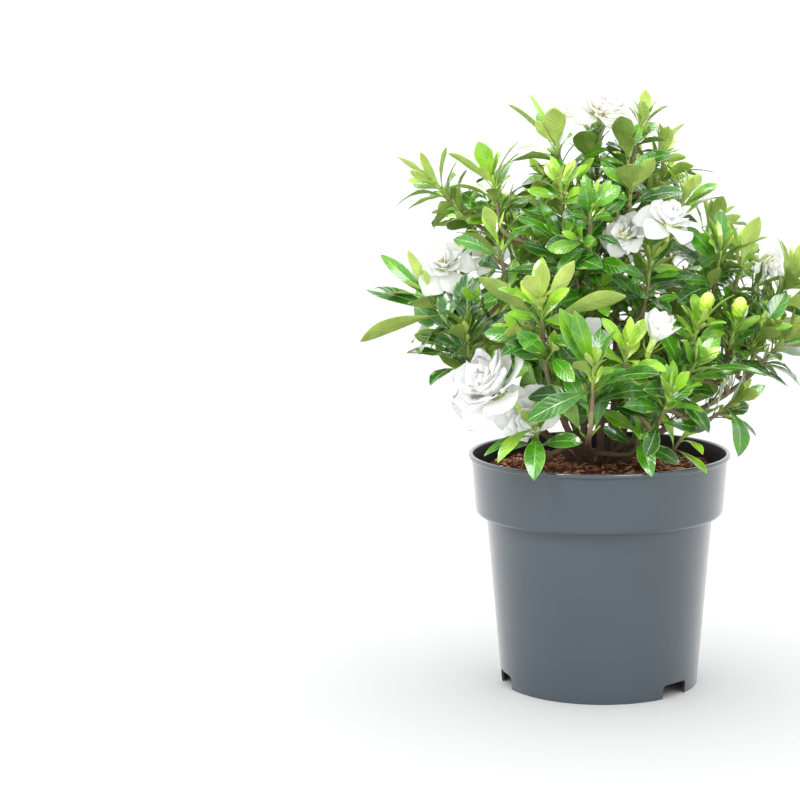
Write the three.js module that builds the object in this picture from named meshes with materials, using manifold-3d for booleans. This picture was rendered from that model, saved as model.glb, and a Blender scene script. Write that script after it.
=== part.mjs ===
// A potted gardenia: a dark grey nursery pot of compost, a many-stemmed evergreen shrub with its
// leafy shoots, and its double white blooms and green flower buds. Millimetres, +Z up, the pot's axis
// on Z and its foot on z = 0. The side that is seen first faces -Y.

import * as THREE from "three";
import { mergeVertices } from "three/addons/utils/BufferGeometryUtils.js";
import Module from "manifold-3d";

const wasm = await Module();
wasm.setup();

// Driving dimensions

const POT_SIDES = 36;
const ROUND = 2 * Math.PI;
const CLEARANCE = 0.3; // between two pieces that rest on each other

const pot = {
  height: 206,
  footRadius: 87,
  wall: 2.2,
  floor: 9, // the raised floor's underside
  floorThickness: 2.2,
  waistZ: 151.5, // where the body meets the stepped collar
  waistRadius: 99.6,
  collarLowRadius: 109.6,
  collarTopRadius: 112.4,
  rimRadius: 115,
  lip: 3.6, // height of the rolled lip
  shoulder: 5, // round of the collar's lower edge
};
// Bearings are in degrees from the front, to the right.
const notch = { width: 30, height: 12.3, inner: 62, bearings: [49, 169, 289] };
const soil = { edgeZ: 188, centreZ: 194 };
const crown = { radius: 24, footRadius: 16, lowZ: 168, edgeZ: 193, topZ: 198, sides: 12 };

// Leaves: places along the blade, from root to tip, and the share of the half width at each.
const leafShape = {
  fine: [[0.12, 0.2], [0.46, 1], [0.78, 0.74]],
  plain: [[0.15, 0.24], [0.56, 1]],
  keel: 0.7,
  fold: 0.14,
  spare: 0.6, // what a leaf keeps clear of the other pieces
};
const petalShape = {
  places: [[0.14, 0.3], [0.64, 1], [1, 0.62]],
  thickness: 1.1,
  cup: 0.22,
  tilt: 0.34, // each petal lies over the next one's edge, like a pinwheel's
};
// Whorls of a shoot, from the tip down: distance below the tip, leaves, share of the full length,
// angle from the stem in degrees, and how far the leaf droops.
const whorls = [
  { below: 3, leaves: 2, share: 0.56, pitch: 26, droop: 0 },
  { below: 12, leaves: 3, share: 0.86, pitch: 46, droop: 0.06 },
  { below: 24, leaves: 3, share: 1, pitch: 64, droop: 0.16 },
  { below: 37, leaves: 3, share: 0.94, pitch: 76, droop: 0.26 },
];
const band = 2.2; // the stretch of stem that a whorl's leaves grow from
const stalkOffset = 1.3; // from the stem's middle to where a leaf's own line starts
const greenLength = 43; // the soft green stretch at the end of each twig
const lowGreenLength = 29; // the same on the low twigs by the rim
const radius = {
  root: 4.4, twigStart: 2.6, wood: 2, green: 2.2, tip: 1.5, pedicel: 1.3, calyx: 2.6,
};

// Main stems: where each leaves the crown, the point that its lower part heads for, and the shoot
// that it ends in.
const stems = {
  front: { root: [-5, -13], toward: [-13, -44, 236], leader: "front_tall" },
  front_left: { root: [-12, -8], toward: [-30, -64, 250], leader: "front_pale" },
  left: { root: [-14, 1], toward: [-66, -12, 246], leader: "left_low" },
  centre_left: { root: [-7, 3], toward: [-30, -6, 300], leader: "top_left" },
  centre: { root: [1, -3], toward: [4, -10, 300], leader: "top_bloom" },
  centre_right: { root: [6, 6], toward: [26, 0, 300], leader: "top_right" },
  right: { root: [13, -1], toward: [62, -18, 270], leader: "right_high" },
  far_right: { root: [11, -6], toward: [62, -26, 246], leader: "right_edge" },
  front_right: { root: [4, -11], toward: [28, -50, 244], leader: "front_fork" },
  back_left: { root: [-8, 12], toward: [-42, 52, 270], leader: "back_shoulder" },
  back_right: { root: [8, 13], toward: [44, 56, 270], leader: "back_right" },
};

// Leafy shoots: the stem that carries each, its tip, the way it leans for each 1 up, the length of
// its full leaves, and the leaves whose tips are seen plainly: whorl, tip, width, the share of the
// length that the blade arches, and the way its upper side looks where it is turned from its whorl's.
const FRONT = [0, -1, 0.35];
const BACK = [0, 1, 0.35];
const shoots = {
  left_shoulder: {
    on: "centre_left", tip: [-147, 10, 446], lean: [-0.95, 0], leaf: 44,
    seen: [
      [0, [-176, 5, 466], 11, 0.03],
      [1, [-155, -5, 470], 9, 0.03],
      [2, [-176, -2, 424], 15, 0.2, [-0.11, 0.34, 0.84]],
    ],
  },
  left_upright: {
    on: "centre_left", tip: [-92, -20, 452], lean: [-0.15, -0.1], leaf: 50,
    seen: [
      [0, [-103, -33, 480], 16, 0.04, FRONT],
      [1, [-130, -12, 470], 11, 0.08, [0.24, 0.51, 0.51]],
      [1, [-68, -10, 474], 12, 0.1],
      [2, [-138, -46, 437], 13, 0.16, [0.09, 0.37, 0.76]],
    ],
  },
  left_inner: {
    on: "centre_left", tip: [-122, 35, 420], lean: [-0.6, 0.4], leaf: 42,
    seen: [[2, [-133, 4, 408], 16, 0.1, BACK]],
  },
  left_front: {
    on: "left", tip: [-87, -74, 406], lean: [-0.2, -0.3], leaf: 44,
    seen: [
      [0, [-95, -84, 428], 11, 0.02],
      [2, [-118, -88, 402], 14, 0.1, [0.19, 0.44, 0.73]],
    ],
  },
  top_left: {
    on: "centre_left", tip: [-40, -8, 484], lean: [-0.3, 0], leaf: 54,
    seen: [
      [0, [-60, -3, 519], 9, 0.03],
      [1, [-78, -15, 511], 13, 0.05],
      [1, [-39, -27, 508], 20, 0.04, BACK],
      [1, [-53, 7, 503], 14, 0.05],
    ],
  },
  top_inner: { on: "centre_left", tip: [-33, -60, 450], lean: [-0.1, -0.3], leaf: 36, small: true },
  glossy: {
    on: "centre", tip: [-7, -94, 434], lean: [0.02, -0.5], leaf: 42,
    seen: [
      [1, [-12, -122, 444], 18, 0.08, FRONT],
      [1, [18, -98, 444], 16, 0.1, [-0.24, -0.77, 0.45]],
      [2, [-30, -118, 420], 16, 0.12],
    ],
  },
  mid_left: {
    on: "centre_left", tip: [-28, -62, 396], lean: [-0.25, -0.5], leaf: 54,
    seen: [
      [1, [-71, -74, 418], 15, 0.1],
      [1, [-50, -62, 430], 10, 0.08],
    ],
  },
  top_bloom: {
    on: "centre", tip: [-2, -2, 478], lean: [0, -0.1], leaf: 42, small: true,
    seen: [[2, [-20, -34, 484], 21, 0.08, BACK]],
  },
  top_right: {
    on: "centre_right", tip: [38, 6, 498], lean: [0.25, 0], leaf: 40,
    seen: [
      [0, [40, -4, 522], 11, 0.03],
      [1, [58, 8, 508], 9, 0.08],
    ],
  },
  top_shade: {
    on: "centre_right", tip: [24, -22, 476], lean: [-0.05, -0.25], leaf: 40, small: true,
    seen: [[1, [18, -42, 498], 19, 0.06, BACK]],
  },
  right_peak: {
    on: "centre_right", tip: [56, 24, 474], lean: [0.45, 0.2], leaf: 40,
    seen: [
      [0, [74, 24, 492], 11, 0.06],
      [1, [60, 8, 490], 13, 0.05],
    ],
  },
  grey_upright: {
    on: "centre", tip: [27, -50, 448], lean: [0.05, -0.3], leaf: 44,
    seen: [
      [1, [18, -76, 468], 25, 0.05, BACK],
      [1, [46, -62, 466], 13, 0.06, BACK],
    ],
  },
  right_shoulder: {
    on: "centre_right", tip: [56, 10, 446], lean: [0.8, 0.1], leaf: 50,
    seen: [
      [1, [92, 10, 456], 10, 0.16],
      [0, [80, -4, 452], 12, 0.12],
    ],
  },
  narrow_rosette: {
    on: "right", tip: [74, -14, 432], lean: [0.35, -0.1], leaf: 46,
    seen: [
      [2, [106, -14, 430], 15, 0.12],
      [2, [48, -30, 446], 15, 0.1, [0.3, 0.7, 0.43]],
      [1, [80, -22, 448], 8, 0.03],
    ],
  },
  under_bloom: { on: "centre", tip: [44, -60, 382], lean: [0.12, -0.25], leaf: 42 },
  right_high: {
    on: "right", tip: [104, -28, 386], lean: [0.15, -0.3], leaf: 56,
    seen: [
      [1, [74, -62, 408], 18, 0.06, FRONT],
      [0, [93, -42, 414], 12, 0.03],
      [2, [128, -60, 364], 16, 0.12],
    ],
  },
  right_bud: {
    on: "right", tip: [123, -8, 380], lean: [0.2, 0], leaf: 40,
    seen: [
      [1, [136, -24, 414], 16, 0.04],
      [1, [112, -20, 410], 9, 0.04],
    ],
  },
  right_bloom: { on: "right", tip: [139, 18, 358], lean: [0.5, 0], leaf: 44, small: true },
  right_outer: {
    on: "far_right", tip: [166, 2, 366], lean: [0.55, 0.05], leaf: 52,
    seen: [[2, [206, -6, 350], 14, 0.14]],
  },
  left_low: {
    on: "left", tip: [-146, -32, 352], lean: [-0.55, -0.1], leaf: 60,
    seen: [
      [0, [-164, -42, 388], 9, 0.02],
      [1, [-188, -36, 384], 12, 0.06, FRONT],
      [1, [-168, -74, 352], 14, 0.06],
      [2, [-201, -26, 352], 15, 0.1, [0, -0.7, 0.6]],
      [2, [-203, -56, 307], 16, 0.12],
    ],
  },
  left_dark: {
    on: "left", tip: [-113, -62, 318], lean: [-0.1, -0.35], leaf: 60,
    seen: [
      [0, [-112, -60, 366], 25, 0.05, FRONT],
      [1, [-130, -84, 342], 14, 0.08],
    ],
  },
  front_pale: {
    on: "front_left", tip: [-48, -120, 352], lean: [-0.05, -0.5], leaf: 52,
    seen: [
      [0, [-46, -138, 386], 13, 0.03, BACK],
      [0, [-58, -148, 374], 15, 0.05, BACK],
      [1, [-20, -128, 386], 13, 0.05, BACK],
      [2, [-99, -140, 370], 16, 0.06, [0.44, 0.24, 0.58]],
      [2, [22, -140, 358], 15, 0.14, BACK],
    ],
  },
  rim_front: {
    on: "front_left", tip: [-54, -94, 244], lean: [-0.15, -0.7], low: true, leaf: 44,
    seen: [
      [1, [-54, -127, 203], 18, 0.2, FRONT],
      [1, [-96, -112, 221], 9, 0.14],
      [0, [-84, -122, 217], 13, 0.16],
      [2, [-88, -96, 230], 10, 0.12],
    ],
  },
  front_tall: {
    on: "front", tip: [-4, -128, 300], lean: [0.05, -0.35], leaf: 60,
    seen: [
      [1, [-32, -136, 348], 16, 0.05, FRONT],
      [0, [-20, -148, 347], 15, 0.04, FRONT],
      [0, [14, -138, 330], 12, 0.04],
      [2, [45, -154, 293], 23, 0.1, [-0.1, -0.45, 0.85]],
      [2, [-60, -146, 256], 18, 0.16, FRONT],
      [1, [-20, -158, 306], 11, 0.08, BACK],
    ],
  },
  front_rosette: { on: "front_right", tip: [24, -112, 318], lean: [0.1, -0.4], leaf: 38 },
  right_bud_low: {
    on: "far_right", tip: [85, -78, 332], lean: [0.3, -0.3], leaf: 42,
    seen: [
      [1, [60, -108, 358], 10, 0.06],
      [1, [104, -86, 360], 9, 0.08],
    ],
  },
  right_bud_mid: { on: "right", tip: [115, -55, 325], lean: [0.2, -0.3], leaf: 42 },
  right_mid: {
    on: "far_right", tip: [138, -40, 318], lean: [0.5, -0.25], leaf: 50,
    seen: [
      [1, [160, -32, 350], 16, 0.06, FRONT],
      [2, [152, -72, 296], 18, 0.12],
    ],
  },
  rim_right: {
    on: "far_right", tip: [118, -42, 258], lean: [1.3, -0.35], low: true, leaf: 50,
    seen: [[1, [118, -66, 213], 21, 0.2, [0.52, -0.65, 0.42]]],
  },
  right_level: {
    on: "far_right", tip: [82, -90, 298], lean: [0.65, -0.5], leaf: 52,
    seen: [
      [2, [138, -108, 288], 15, 0.14],
      [2, [38, -106, 296], 10, 0.1],
    ],
  },
  front_fork: {
    on: "front_right", tip: [60, -114, 276], lean: [0.35, -0.7], leaf: 44,
    seen: [
      [0, [50, -138, 292], 12, 0.05],
      [1, [84, -136, 285], 11, 0.08],
      [2, [84, -134, 262], 10, 0.12],
    ],
  },
  rim_rosette: {
    on: "front_right", tip: [74, -84, 238], lean: [0.6, -0.8], low: true, leaf: 36, small: true,
    seen: [[1, [86, -106, 222], 11, 0.12]],
  },
  over_soil: {
    on: "front", tip: [36, -86, 238], lean: [0.25, -1.1], low: true, leaf: 40, small: true,
    seen: [
      [1, [52, -108, 210], 15, 0.2, FRONT],
      [0, [34, -113, 236], 20, 0.14, FRONT],
    ],
  },
  right_edge: {
    on: "far_right", tip: [166, -14, 314], lean: [0.9, -0.05], leaf: 52,
    seen: [[2, [200, -44, 296], 15, 0.14]],
  },
  back_shoulder: { on: "back_left", tip: [-72, 98, 410], lean: [-0.35, 0.6], leaf: 52 },
  back_peak: { on: "back_right", tip: [24, 92, 448], lean: [0.05, 0.5], leaf: 52 },
  back_right: { on: "back_right", tip: [100, 88, 400], lean: [0.5, 0.5], leaf: 52 },
  back_left_low: { on: "back_left", tip: [-134, 80, 348], lean: [-0.8, 0.5], leaf: 56 },
  back_middle: { on: "back_left", tip: [-18, 130, 346], lean: [-0.05, 0.9], leaf: 56 },
  back_low_right: { on: "back_right", tip: [76, 126, 318], lean: [0.4, 0.9], leaf: 56 },
  back_outer_right: { on: "back_right", tip: [148, 84, 318], lean: [0.9, 0.5], leaf: 54 },
  back_low_left: { on: "back_left", tip: [-86, 116, 288], lean: [-0.6, 0.9], leaf: 54 },
};

// Blooms: the shoot that carries each, how far below its tip, the bloom's centre, the way it faces,
// its radius, and for each ring the petals, their share of the radius, their lift in degrees and
// their width for their length.
const FULL = [[6, 1, 26, 0.78], [6, 0.94, 48, 0.66], [3, 0.72, 68, 0.6]];
const DOUBLE = [[6, 1, 6, 0.84], [6, 0.7, 42, 0.74]];
const LOOSE = [[6, 1, 14, 0.82]];
const HALF_OPEN = [[6, 1, 60, 0.56]];
const blooms = {
  bloom_front: {
    on: "rim_front", below: 20, centre: [-85, -106, 274], face: [-0.66, -0.5, 0.56], radius: 43,
    rings: FULL,
  },
  bloom_behind: {
    on: "rim_front", below: 25, centre: [-62, -82, 251], face: [0.1, -0.85, 0], radius: 29,
    rings: LOOSE,
  },
  bloom_top: {
    on: "top_bloom", below: 0, centre: [-1, -8, 503], face: [0.05, -0.35, 0.93], radius: 29,
    rings: DOUBLE,
  },
  bloom_right: {
    on: "under_bloom", below: 6, centre: [58, -66, 412], face: [0.1, -0.4, 0.9], radius: 31,
    rings: DOUBLE,
  },
  bloom_inner: {
    on: "under_bloom", below: 24, centre: [22, -52, 400], face: [-0.35, -0.6, 0.5], radius: 24,
    rings: LOOSE,
  },
  bloom_left: {
    on: "left_low", below: 34, centre: [-134, -30, 372], face: [-0.15, -0.75, 0.6], radius: 30,
    rings: DOUBLE,
  },
  bloom_middle: {
    on: "front_rosette", below: 30, centre: [-12, -84, 314], face: [-0.1, -0.9, 0.3], radius: 24,
    rings: LOOSE,
  },
  bloom_opening: {
    on: "right_level", below: 34, centre: [47, -110, 323], face: [0.35, -0.35, 0.85], radius: 24,
    rings: HALF_OPEN,
  },
  bloom_side: {
    on: "right_bloom", below: 0, centre: [144, -4, 374], face: [0.7, -0.45, -0.15], radius: 20,
    rings: LOOSE,
  },
  bloom_back: {
    on: "back_right", below: 20, centre: [58, 124, 384], face: [0.1, 0.8, 0.55], radius: 34,
    rings: DOUBLE,
  },
  bloom_back_left: {
    on: "back_left_low", below: 24, centre: [-104, 104, 372], face: [-0.4, 0.75, 0.55], radius: 30,
    rings: LOOSE,
  },
};
// The middle of a bloom: distances along its face from the centre, and radii.
const heart = { back: -17, neck: -6, backRadius: 2.4, neckRadius: 3.2, first: -3.4, ringStep: 3, top: 3.4 };
const buds = { bud_high: "right_bud", bud_low: "right_bud_low", bud_mid: "right_bud_mid" };
const bud = { length: 20, radius: 6.2, sides: 6, calyx: 5 };

const colours = {
  pot: 0x5b6167,
  soil: 0x4a3024,
  wood: 0x8a7263,
  leaf: 0x4c8a33,
  petal: 0xf7f7f2,
  bud: 0xaace3f,
};

// Small helpers

const vec = (p) => new THREE.Vector3(...p);
const across = (v, axis) => v.clone().addScaledVector(axis, -v.dot(axis)).normalize();
const fraction = (v) => v - Math.floor(v);
// An even scatter from 0 to 1, the same on every run.
const chance = (a, b) => fraction(Math.sin(a * 12.9898 + b * 78.233) * 43758.5453);

// A point and two directions square to a given axis, so that a turn about it can be measured.
function framed(axis, reference) {
  const side = across(reference, axis);
  const other = axis.clone().cross(side);
  const out = (turn) =>
    side.clone().multiplyScalar(Math.cos(turn)).addScaledVector(other, Math.sin(turn));
  const turnOf = (v) => Math.atan2(v.dot(other), v.dot(side));
  return { axis, out, turnOf };
}

// Surfaces are gathered as triangles. Rings run anticlockwise seen from where the surface grows to,
// and may repeat a point where it narrows.
function wrap(faces, rings, open = []) {
  for (let i = 0; i + 1 < rings.length; i++) {
    const [low, high] = [rings[i], rings[i + 1]];
    low.forEach((point, k) => {
      if (open.includes(k)) return;
      const m = (k + 1) % low.length;
      faces.push([point, low[m], high[m]], [point, high[m], high[k]]);
    });
  }
}

function fan(faces, ring) {
  for (let k = 1; k + 1 < ring.length; k++) faces.push([ring[0], ring[k], ring[k + 1]]);
}

function pierces(p, q, [a, b, c]) {
  const along = q.clone().sub(p);
  const length = along.length();
  const ray = new THREE.Ray(p, along.divideScalar(length));
  const hit = ray.intersectTriangle(a, b, c, false, new THREE.Vector3());
  return hit !== null && hit.distanceTo(p) < length;
}

// Whether a surface passes through itself. Faces that meet share the same point objects.
function crossesItself(faces) {
  const whole = faces.filter((face) => new Set(face).size === 3);
  const boxes = whole.map((face) => new THREE.Box3().setFromPoints(face));
  const edgeThrough = (face, other) =>
    face.some((p, k) => {
      const q = face[(k + 1) % 3];
      return !other.includes(p) && !other.includes(q) && pierces(p, q, other);
    });
  return whole.some((face, i) =>
    whole.some(
      (other, j) => i !== j && boxes[i].intersectsBox(boxes[j]) && edgeThrough(face, other),
    ),
  );
}

function closedLoft(rings) {
  const faces = [];
  fan(faces, [...rings[0]].reverse());
  wrap(faces, rings);
  fan(faces, rings[rings.length - 1]);
  return solidOfFaces(faces);
}

function solidOfFaces(faces) {
  return solidOf(new THREE.BufferGeometry().setFromPoints(faces.flat()));
}

function solidOf(geometry) {
  const bare = new THREE.BufferGeometry();
  bare.setAttribute("position", geometry.getAttribute("position"));
  if (geometry.index) bare.setIndex(geometry.index);
  const merged = mergeVertices(bare, 1e-4);
  const corners = [...merged.index.array];
  const triVerts = [];
  for (let i = 0; i < corners.length; i += 3) {
    const [a, b, c] = corners.slice(i, i + 3);
    if (a !== b && b !== c && c !== a) triVerts.push(a, b, c);
  }
  return new wasm.Manifold(
    new wasm.Mesh({
      numProp: 3,
      vertProperties: new Float32Array(merged.attributes.position.array),
      triVerts: new Uint32Array(triVerts),
    }),
  );
}

function meshOf(name, solid, colour, roughness) {
  const m = solid.getMesh();
  const geometry = new THREE.BufferGeometry();
  geometry.setAttribute("position", new THREE.BufferAttribute(new Float32Array(m.vertProperties), 3));
  geometry.setIndex(new THREE.BufferAttribute(new Uint32Array(m.triVerts), 1));
  geometry.computeVertexNormals();
  const material = new THREE.MeshStandardMaterial({ color: colour, roughness, metalness: 0 });
  const mesh = new THREE.Mesh(geometry, material);
  mesh.name = name;
  return mesh;
}

// A ring of points round a line, at the given turns.
const ringAt = (centre, frame, r, turns) =>
  turns.map((turn) => centre.clone().addScaledVector(frame.out(turn), r));

const evenTurns = (count, first = 0) =>
  Array.from({ length: count }, (_, k) => first + (k / count) * ROUND);

// A tapered stem of flat sides along a curve.
function tube(curve, from, to, sides, steps) {
  const rings = [];
  let reference = new THREE.Vector3(0.37, 0.85, 0.21);
  for (let i = 0; i <= steps; i++) {
    const t = i / steps;
    const frame = framed(curve.getTangent(t), reference);
    reference = frame.out(0);
    rings.push(ringAt(curve.getPoint(t), frame, THREE.MathUtils.lerp(from, to, t), evenTurns(sides)));
  }
  return closedLoft(rings);
}

// The middle line of a blade, from root to tip, arched towards its upper face.
function blade({ root, tip, up, arch }) {
  const run = tip.clone().sub(root);
  const length = run.length();
  const normal = across(up, run.clone().normalize());
  const side = normal.clone().cross(run).normalize();
  const at = (t) =>
    root.clone().addScaledVector(run, t).addScaledVector(normal, arch * length * 4 * t * (1 - t));
  return { normal, side, at };
}

// A keeled three-cornered section of a blade: its keel, given twice, and its two edges.
function section({ normal, side, at }, t, half, rise, depth) {
  const keel = at(t).addScaledVector(normal, -depth);
  const edge = (way) =>
    at(t).addScaledVector(side, way * half).addScaledVector(normal, rise);
  return [keel, keel, edge(1), edge(-1)];
}

// A leaf: a thin keeled blade, widest past its middle, with a pointed tip and a short stalk.
function leafRings(leaf, spare = 0) {
  const line = blade(leaf);
  const { keel, fold } = leafShape;
  const rings = (leaf.fine ? leafShape.fine : leafShape.plain).map(([t, share]) => {
    const half = (share * leaf.width) / 2;
    return section(line, t, half + spare, fold * half + spare, keel + spare);
  });
  return [...rings, Array(4).fill(line.at(1))];
}

// A petal: a broad cupped blade with a blunt end.
function petalRings(petal, spare = 0) {
  const line = blade(petal);
  const { thickness, cup } = petalShape;
  return petalShape.places.map(([t, share]) => {
    const half = (share * petal.width) / 2;
    return section(line, t, half + spare, cup * half + spare, thickness + spare);
  });
}

// A blade by itself, which is only used to see whether its place is free.
function loneBlade(item, rings, from = 0) {
  const line = blade(item);
  return closedLoft([section(line, from, 0.7, 0.3, 0.5), ...rings(item, leafShape.spare)]);
}

// What is placed so far, so that a leaf or petal can be turned clear of it.
const placed = [];
const pieces = new Map();
const TOUCH = 1e-4;

function boxesMeet(a, b) {
  return [0, 1, 2].every((i) => a.min[i] < b.max[i] && b.min[i] < a.max[i]);
}

function isClear(solid, node) {
  const box = solid.boundingBox();
  return placed.every(
    (p) => p.node === node || !boxesMeet(box, p.box) || solid.intersect(p.solid).volume() < TOUCH,
  );
}

const keepClear = (node, solid) => placed.push({ node, solid, box: solid.boundingBox() });

function build(node, solid) {
  if (!pieces.has(node)) pieces.set(node, []);
  pieces.get(node).push(solid);
}

function place(node, solid) {
  keepClear(node, solid);
  build(node, solid);
}

// The pot and what fills it

function lathe(profile, sides) {
  // The profile turns about Y, so the result is stood up on Z.
  const points = profile.map(([r, z]) => new THREE.Vector2(r, z));
  return new THREE.LatheGeometry(points, sides).rotateX(Math.PI / 2);
}

const potFloorTop = pot.floor + pot.floorThickness;

function potWall() {
  const p = pot;
  const lipZ = p.height - p.lip;
  const shoulderZ = p.waistZ + p.shoulder;
  return {
    outside: [
      [p.footRadius, 0],
      [p.waistRadius, p.waistZ],
      [p.collarLowRadius - 3, p.waistZ + 0.8],
      [p.collarLowRadius, shoulderZ],
      [p.collarTopRadius, lipZ - 1],
      [p.rimRadius, lipZ],
      [p.rimRadius, p.height - 1],
      [p.rimRadius - 1.2, p.height],
    ],
    inside: [
      [p.rimRadius - 3.4, p.height],
      [p.collarTopRadius - p.wall, lipZ - 1],
      [p.collarLowRadius - p.wall, shoulderZ],
      [p.collarLowRadius - p.wall - 2.4, p.waistZ + p.wall + 0.8],
      [p.waistRadius - p.wall, p.waistZ + p.wall],
      [p.footRadius - p.wall + 1, potFloorTop],
    ],
  };
}

function potSolid() {
  const { outside, inside } = potWall();
  const skirt = pot.footRadius - pot.wall;
  const profile = [
    [0, pot.floor], [skirt + 0.6, pot.floor], [skirt, 0],
    ...outside, ...inside,
    [0, potFloorTop],
  ];
  let solid = solidOf(lathe(profile, POT_SIDES));
  const reach = pot.footRadius + 6 - notch.inner;
  for (const bearing of notch.bearings) {
    const cut = new THREE.BoxGeometry(notch.width, reach, 2 * notch.height);
    cut.translate(0, -(notch.inner + reach / 2), 0);
    cut.rotateZ(THREE.MathUtils.degToRad(bearing));
    solid = solid.subtract(solidOf(cut));
  }
  return solid;
}

// The compost is the root ball that fills the pot, with a plain round hole for the crown.
function soilSolid() {
  const { inside } = potWall();
  const [, collar, shoulder, , waist, foot] = inside;
  const wallAt = (z) => THREE.MathUtils.mapLinear(z, shoulder[1], collar[1], shoulder[0], collar[0]);
  const gap = CLEARANCE + 0.1;
  const profile = [
    [0, foot[1] + CLEARANCE],
    [foot[0] - gap, foot[1] + CLEARANCE],
    [waist[0] - gap, waist[1]],
    [shoulder[0] - gap, shoulder[1] + 2],
    [wallAt(soil.edgeZ) - gap, soil.edgeZ],
    [0, soil.centreZ],
  ];
  const c = crown;
  const clear = CLEARANCE;
  const hole = [
    [0, c.lowZ - clear], [c.footRadius + clear, c.lowZ - clear],
    [c.radius + clear, c.lowZ + 12], [c.radius + clear, c.topZ + 20], [0, c.topZ + 20],
  ];
  return solidOf(lathe(profile, POT_SIDES)).subtract(solidOf(lathe(hole, c.sides)));
}

function crownSolid() {
  const c = crown;
  const profile = [
    [0, c.lowZ], [c.footRadius, c.lowZ], [c.radius, c.lowZ + 12.4],
    [c.radius, c.edgeZ], [c.radius - 6, c.topZ - 1], [0, c.topZ],
  ];
  return solidOf(lathe(profile, c.sides));
}

// The woody stems

const directionOf = (shoot) => new THREE.Vector3(shoot.lean[0], shoot.lean[1], 1).normalize();
const below = (shoot, distance) => vec(shoot.tip).addScaledVector(directionOf(shoot), -distance);
const greenOf = (shoot) => (shoot.low ? lowGreenLength : greenLength);
const whorlsOf = (shoot) => whorls.filter((w) => w.below < greenOf(shoot));

function bezierTo(start, firstControl, shoot) {
  const end = below(shoot, greenOf(shoot));
  const reach = 0.36 * start.distanceTo(end);
  const arrive = end.clone().addScaledVector(directionOf(shoot), -reach);
  return new THREE.CubicBezierCurve3(start, firstControl, arrive, end);
}

function stemCurve(stem) {
  const start = new THREE.Vector3(stem.root[0], stem.root[1], crown.edgeZ - 4);
  return bezierTo(start, vec(stem.toward), shoots[stem.leader]);
}

// A twig leaves its stem where it can rise to the shoot at a natural slope.
function twigCurve(shoot, stem) {
  const end = below(shoot, greenOf(shoot));
  let best = { cost: Infinity };
  for (let t = 0.16; t < 0.92; t += 0.04) {
    const start = stem.getPoint(t);
    const level = Math.hypot(end.x - start.x, end.y - start.y);
    const cost = Math.abs(start.z + 0.55 * level - end.z) + 0.25 * start.distanceTo(end);
    if (cost < best.cost) best = { cost, start, along: stem.getTangent(t) };
  }
  const { start, along } = best;
  const toward = end.clone().sub(start).normalize().add(along).normalize();
  const first = start.clone().addScaledVector(toward, 0.36 * start.distanceTo(end));
  return bezierTo(start, first, shoot);
}

function woodyStems() {
  place("woody_stems", crownSolid());
  for (const [name, stem] of Object.entries(stems)) {
    const curve = stemCurve(stem);
    place("woody_stems", tube(curve, radius.root, radius.wood, 5, 5));
    for (const shoot of Object.values(shoots)) {
      if (shoot.on !== name || shoot === shoots[stem.leader]) continue;
      place("woody_stems", tube(twigCurve(shoot, curve), radius.twigStart, radius.wood, 4, 3));
    }
  }
}

// Blooms and buds, and the green stalks that carry them

const faceOf = (bloom) => vec(bloom.face).normalize();

// The green stalk of a bloom, flared at its end into the calyx.
function pedicel(bloom) {
  const shoot = shoots[bloom.on];
  const face = faceOf(bloom);
  const start = below(shoot, Math.max(bloom.below, 1));
  const end = vec(bloom.centre).addScaledVector(face, heart.back - CLEARANCE);
  const reach = 0.4 * start.distanceTo(end);
  const leave = start.clone().addScaledVector(directionOf(shoot), reach);
  const arrive = end.clone().addScaledVector(face, -reach);
  const curve = new THREE.CubicBezierCurve3(start, leave, arrive, end);
  place(bloom.on, tube(curve, radius.pedicel, radius.calyx, 4, 3));
}

function bloomFrame(bloom) {
  return framed(faceOf(bloom), new THREE.Vector3(0.91, 0.13, 0.39));
}

// Where a ring of petals grows from the middle of the bloom, and how its faces are turned.
const heartLevel = (ring) => heart.first + heart.ringStep * ring;
const heartRadius = (ring) => 5 - 0.6 * ring;
const heartTurns = (ring) => evenTurns(6, 0.5 * ring + 0.1);

function petalOf(bloom, ring, index, attempt) {
  const [count, share, lift, breadth] = bloom.rings[ring];
  const frame = bloomFrame(bloom);
  const face = heartTurns(ring)[index * (6 / count)];
  const out = frame.out(face + ROUND / 12);
  const random = chance(ring + bloom.radius, index + bloom.centre[0]);
  const rise = THREE.MathUtils.degToRad(lift + 8 * (random - 0.5) + 9 * attempt);
  const along = out.clone().multiplyScalar(Math.cos(rise)).addScaledVector(frame.axis, Math.sin(rise));
  const root = vec(bloom.centre).addScaledVector(frame.axis, heartLevel(ring) + band / 2);
  root.addScaledVector(out, heartRadius(ring) - 1);
  const reach = bloom.radius * share * (0.96 + 0.08 * chance(index + 3, ring + bloom.radius));
  const length = reach - (heartRadius(ring) - 1) * Math.cos(rise);
  const turned = frame.axis.clone().cross(out);
  return {
    root,
    tip: root.clone().addScaledVector(along, length),
    up: frame.axis.clone().multiplyScalar(Math.cos(rise)).addScaledVector(out, -Math.sin(rise))
      .addScaledVector(turned, petalShape.tilt),
    arch: lift < 20 ? 0.07 : -0.05,
    width: length * breadth,
  };
}

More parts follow.
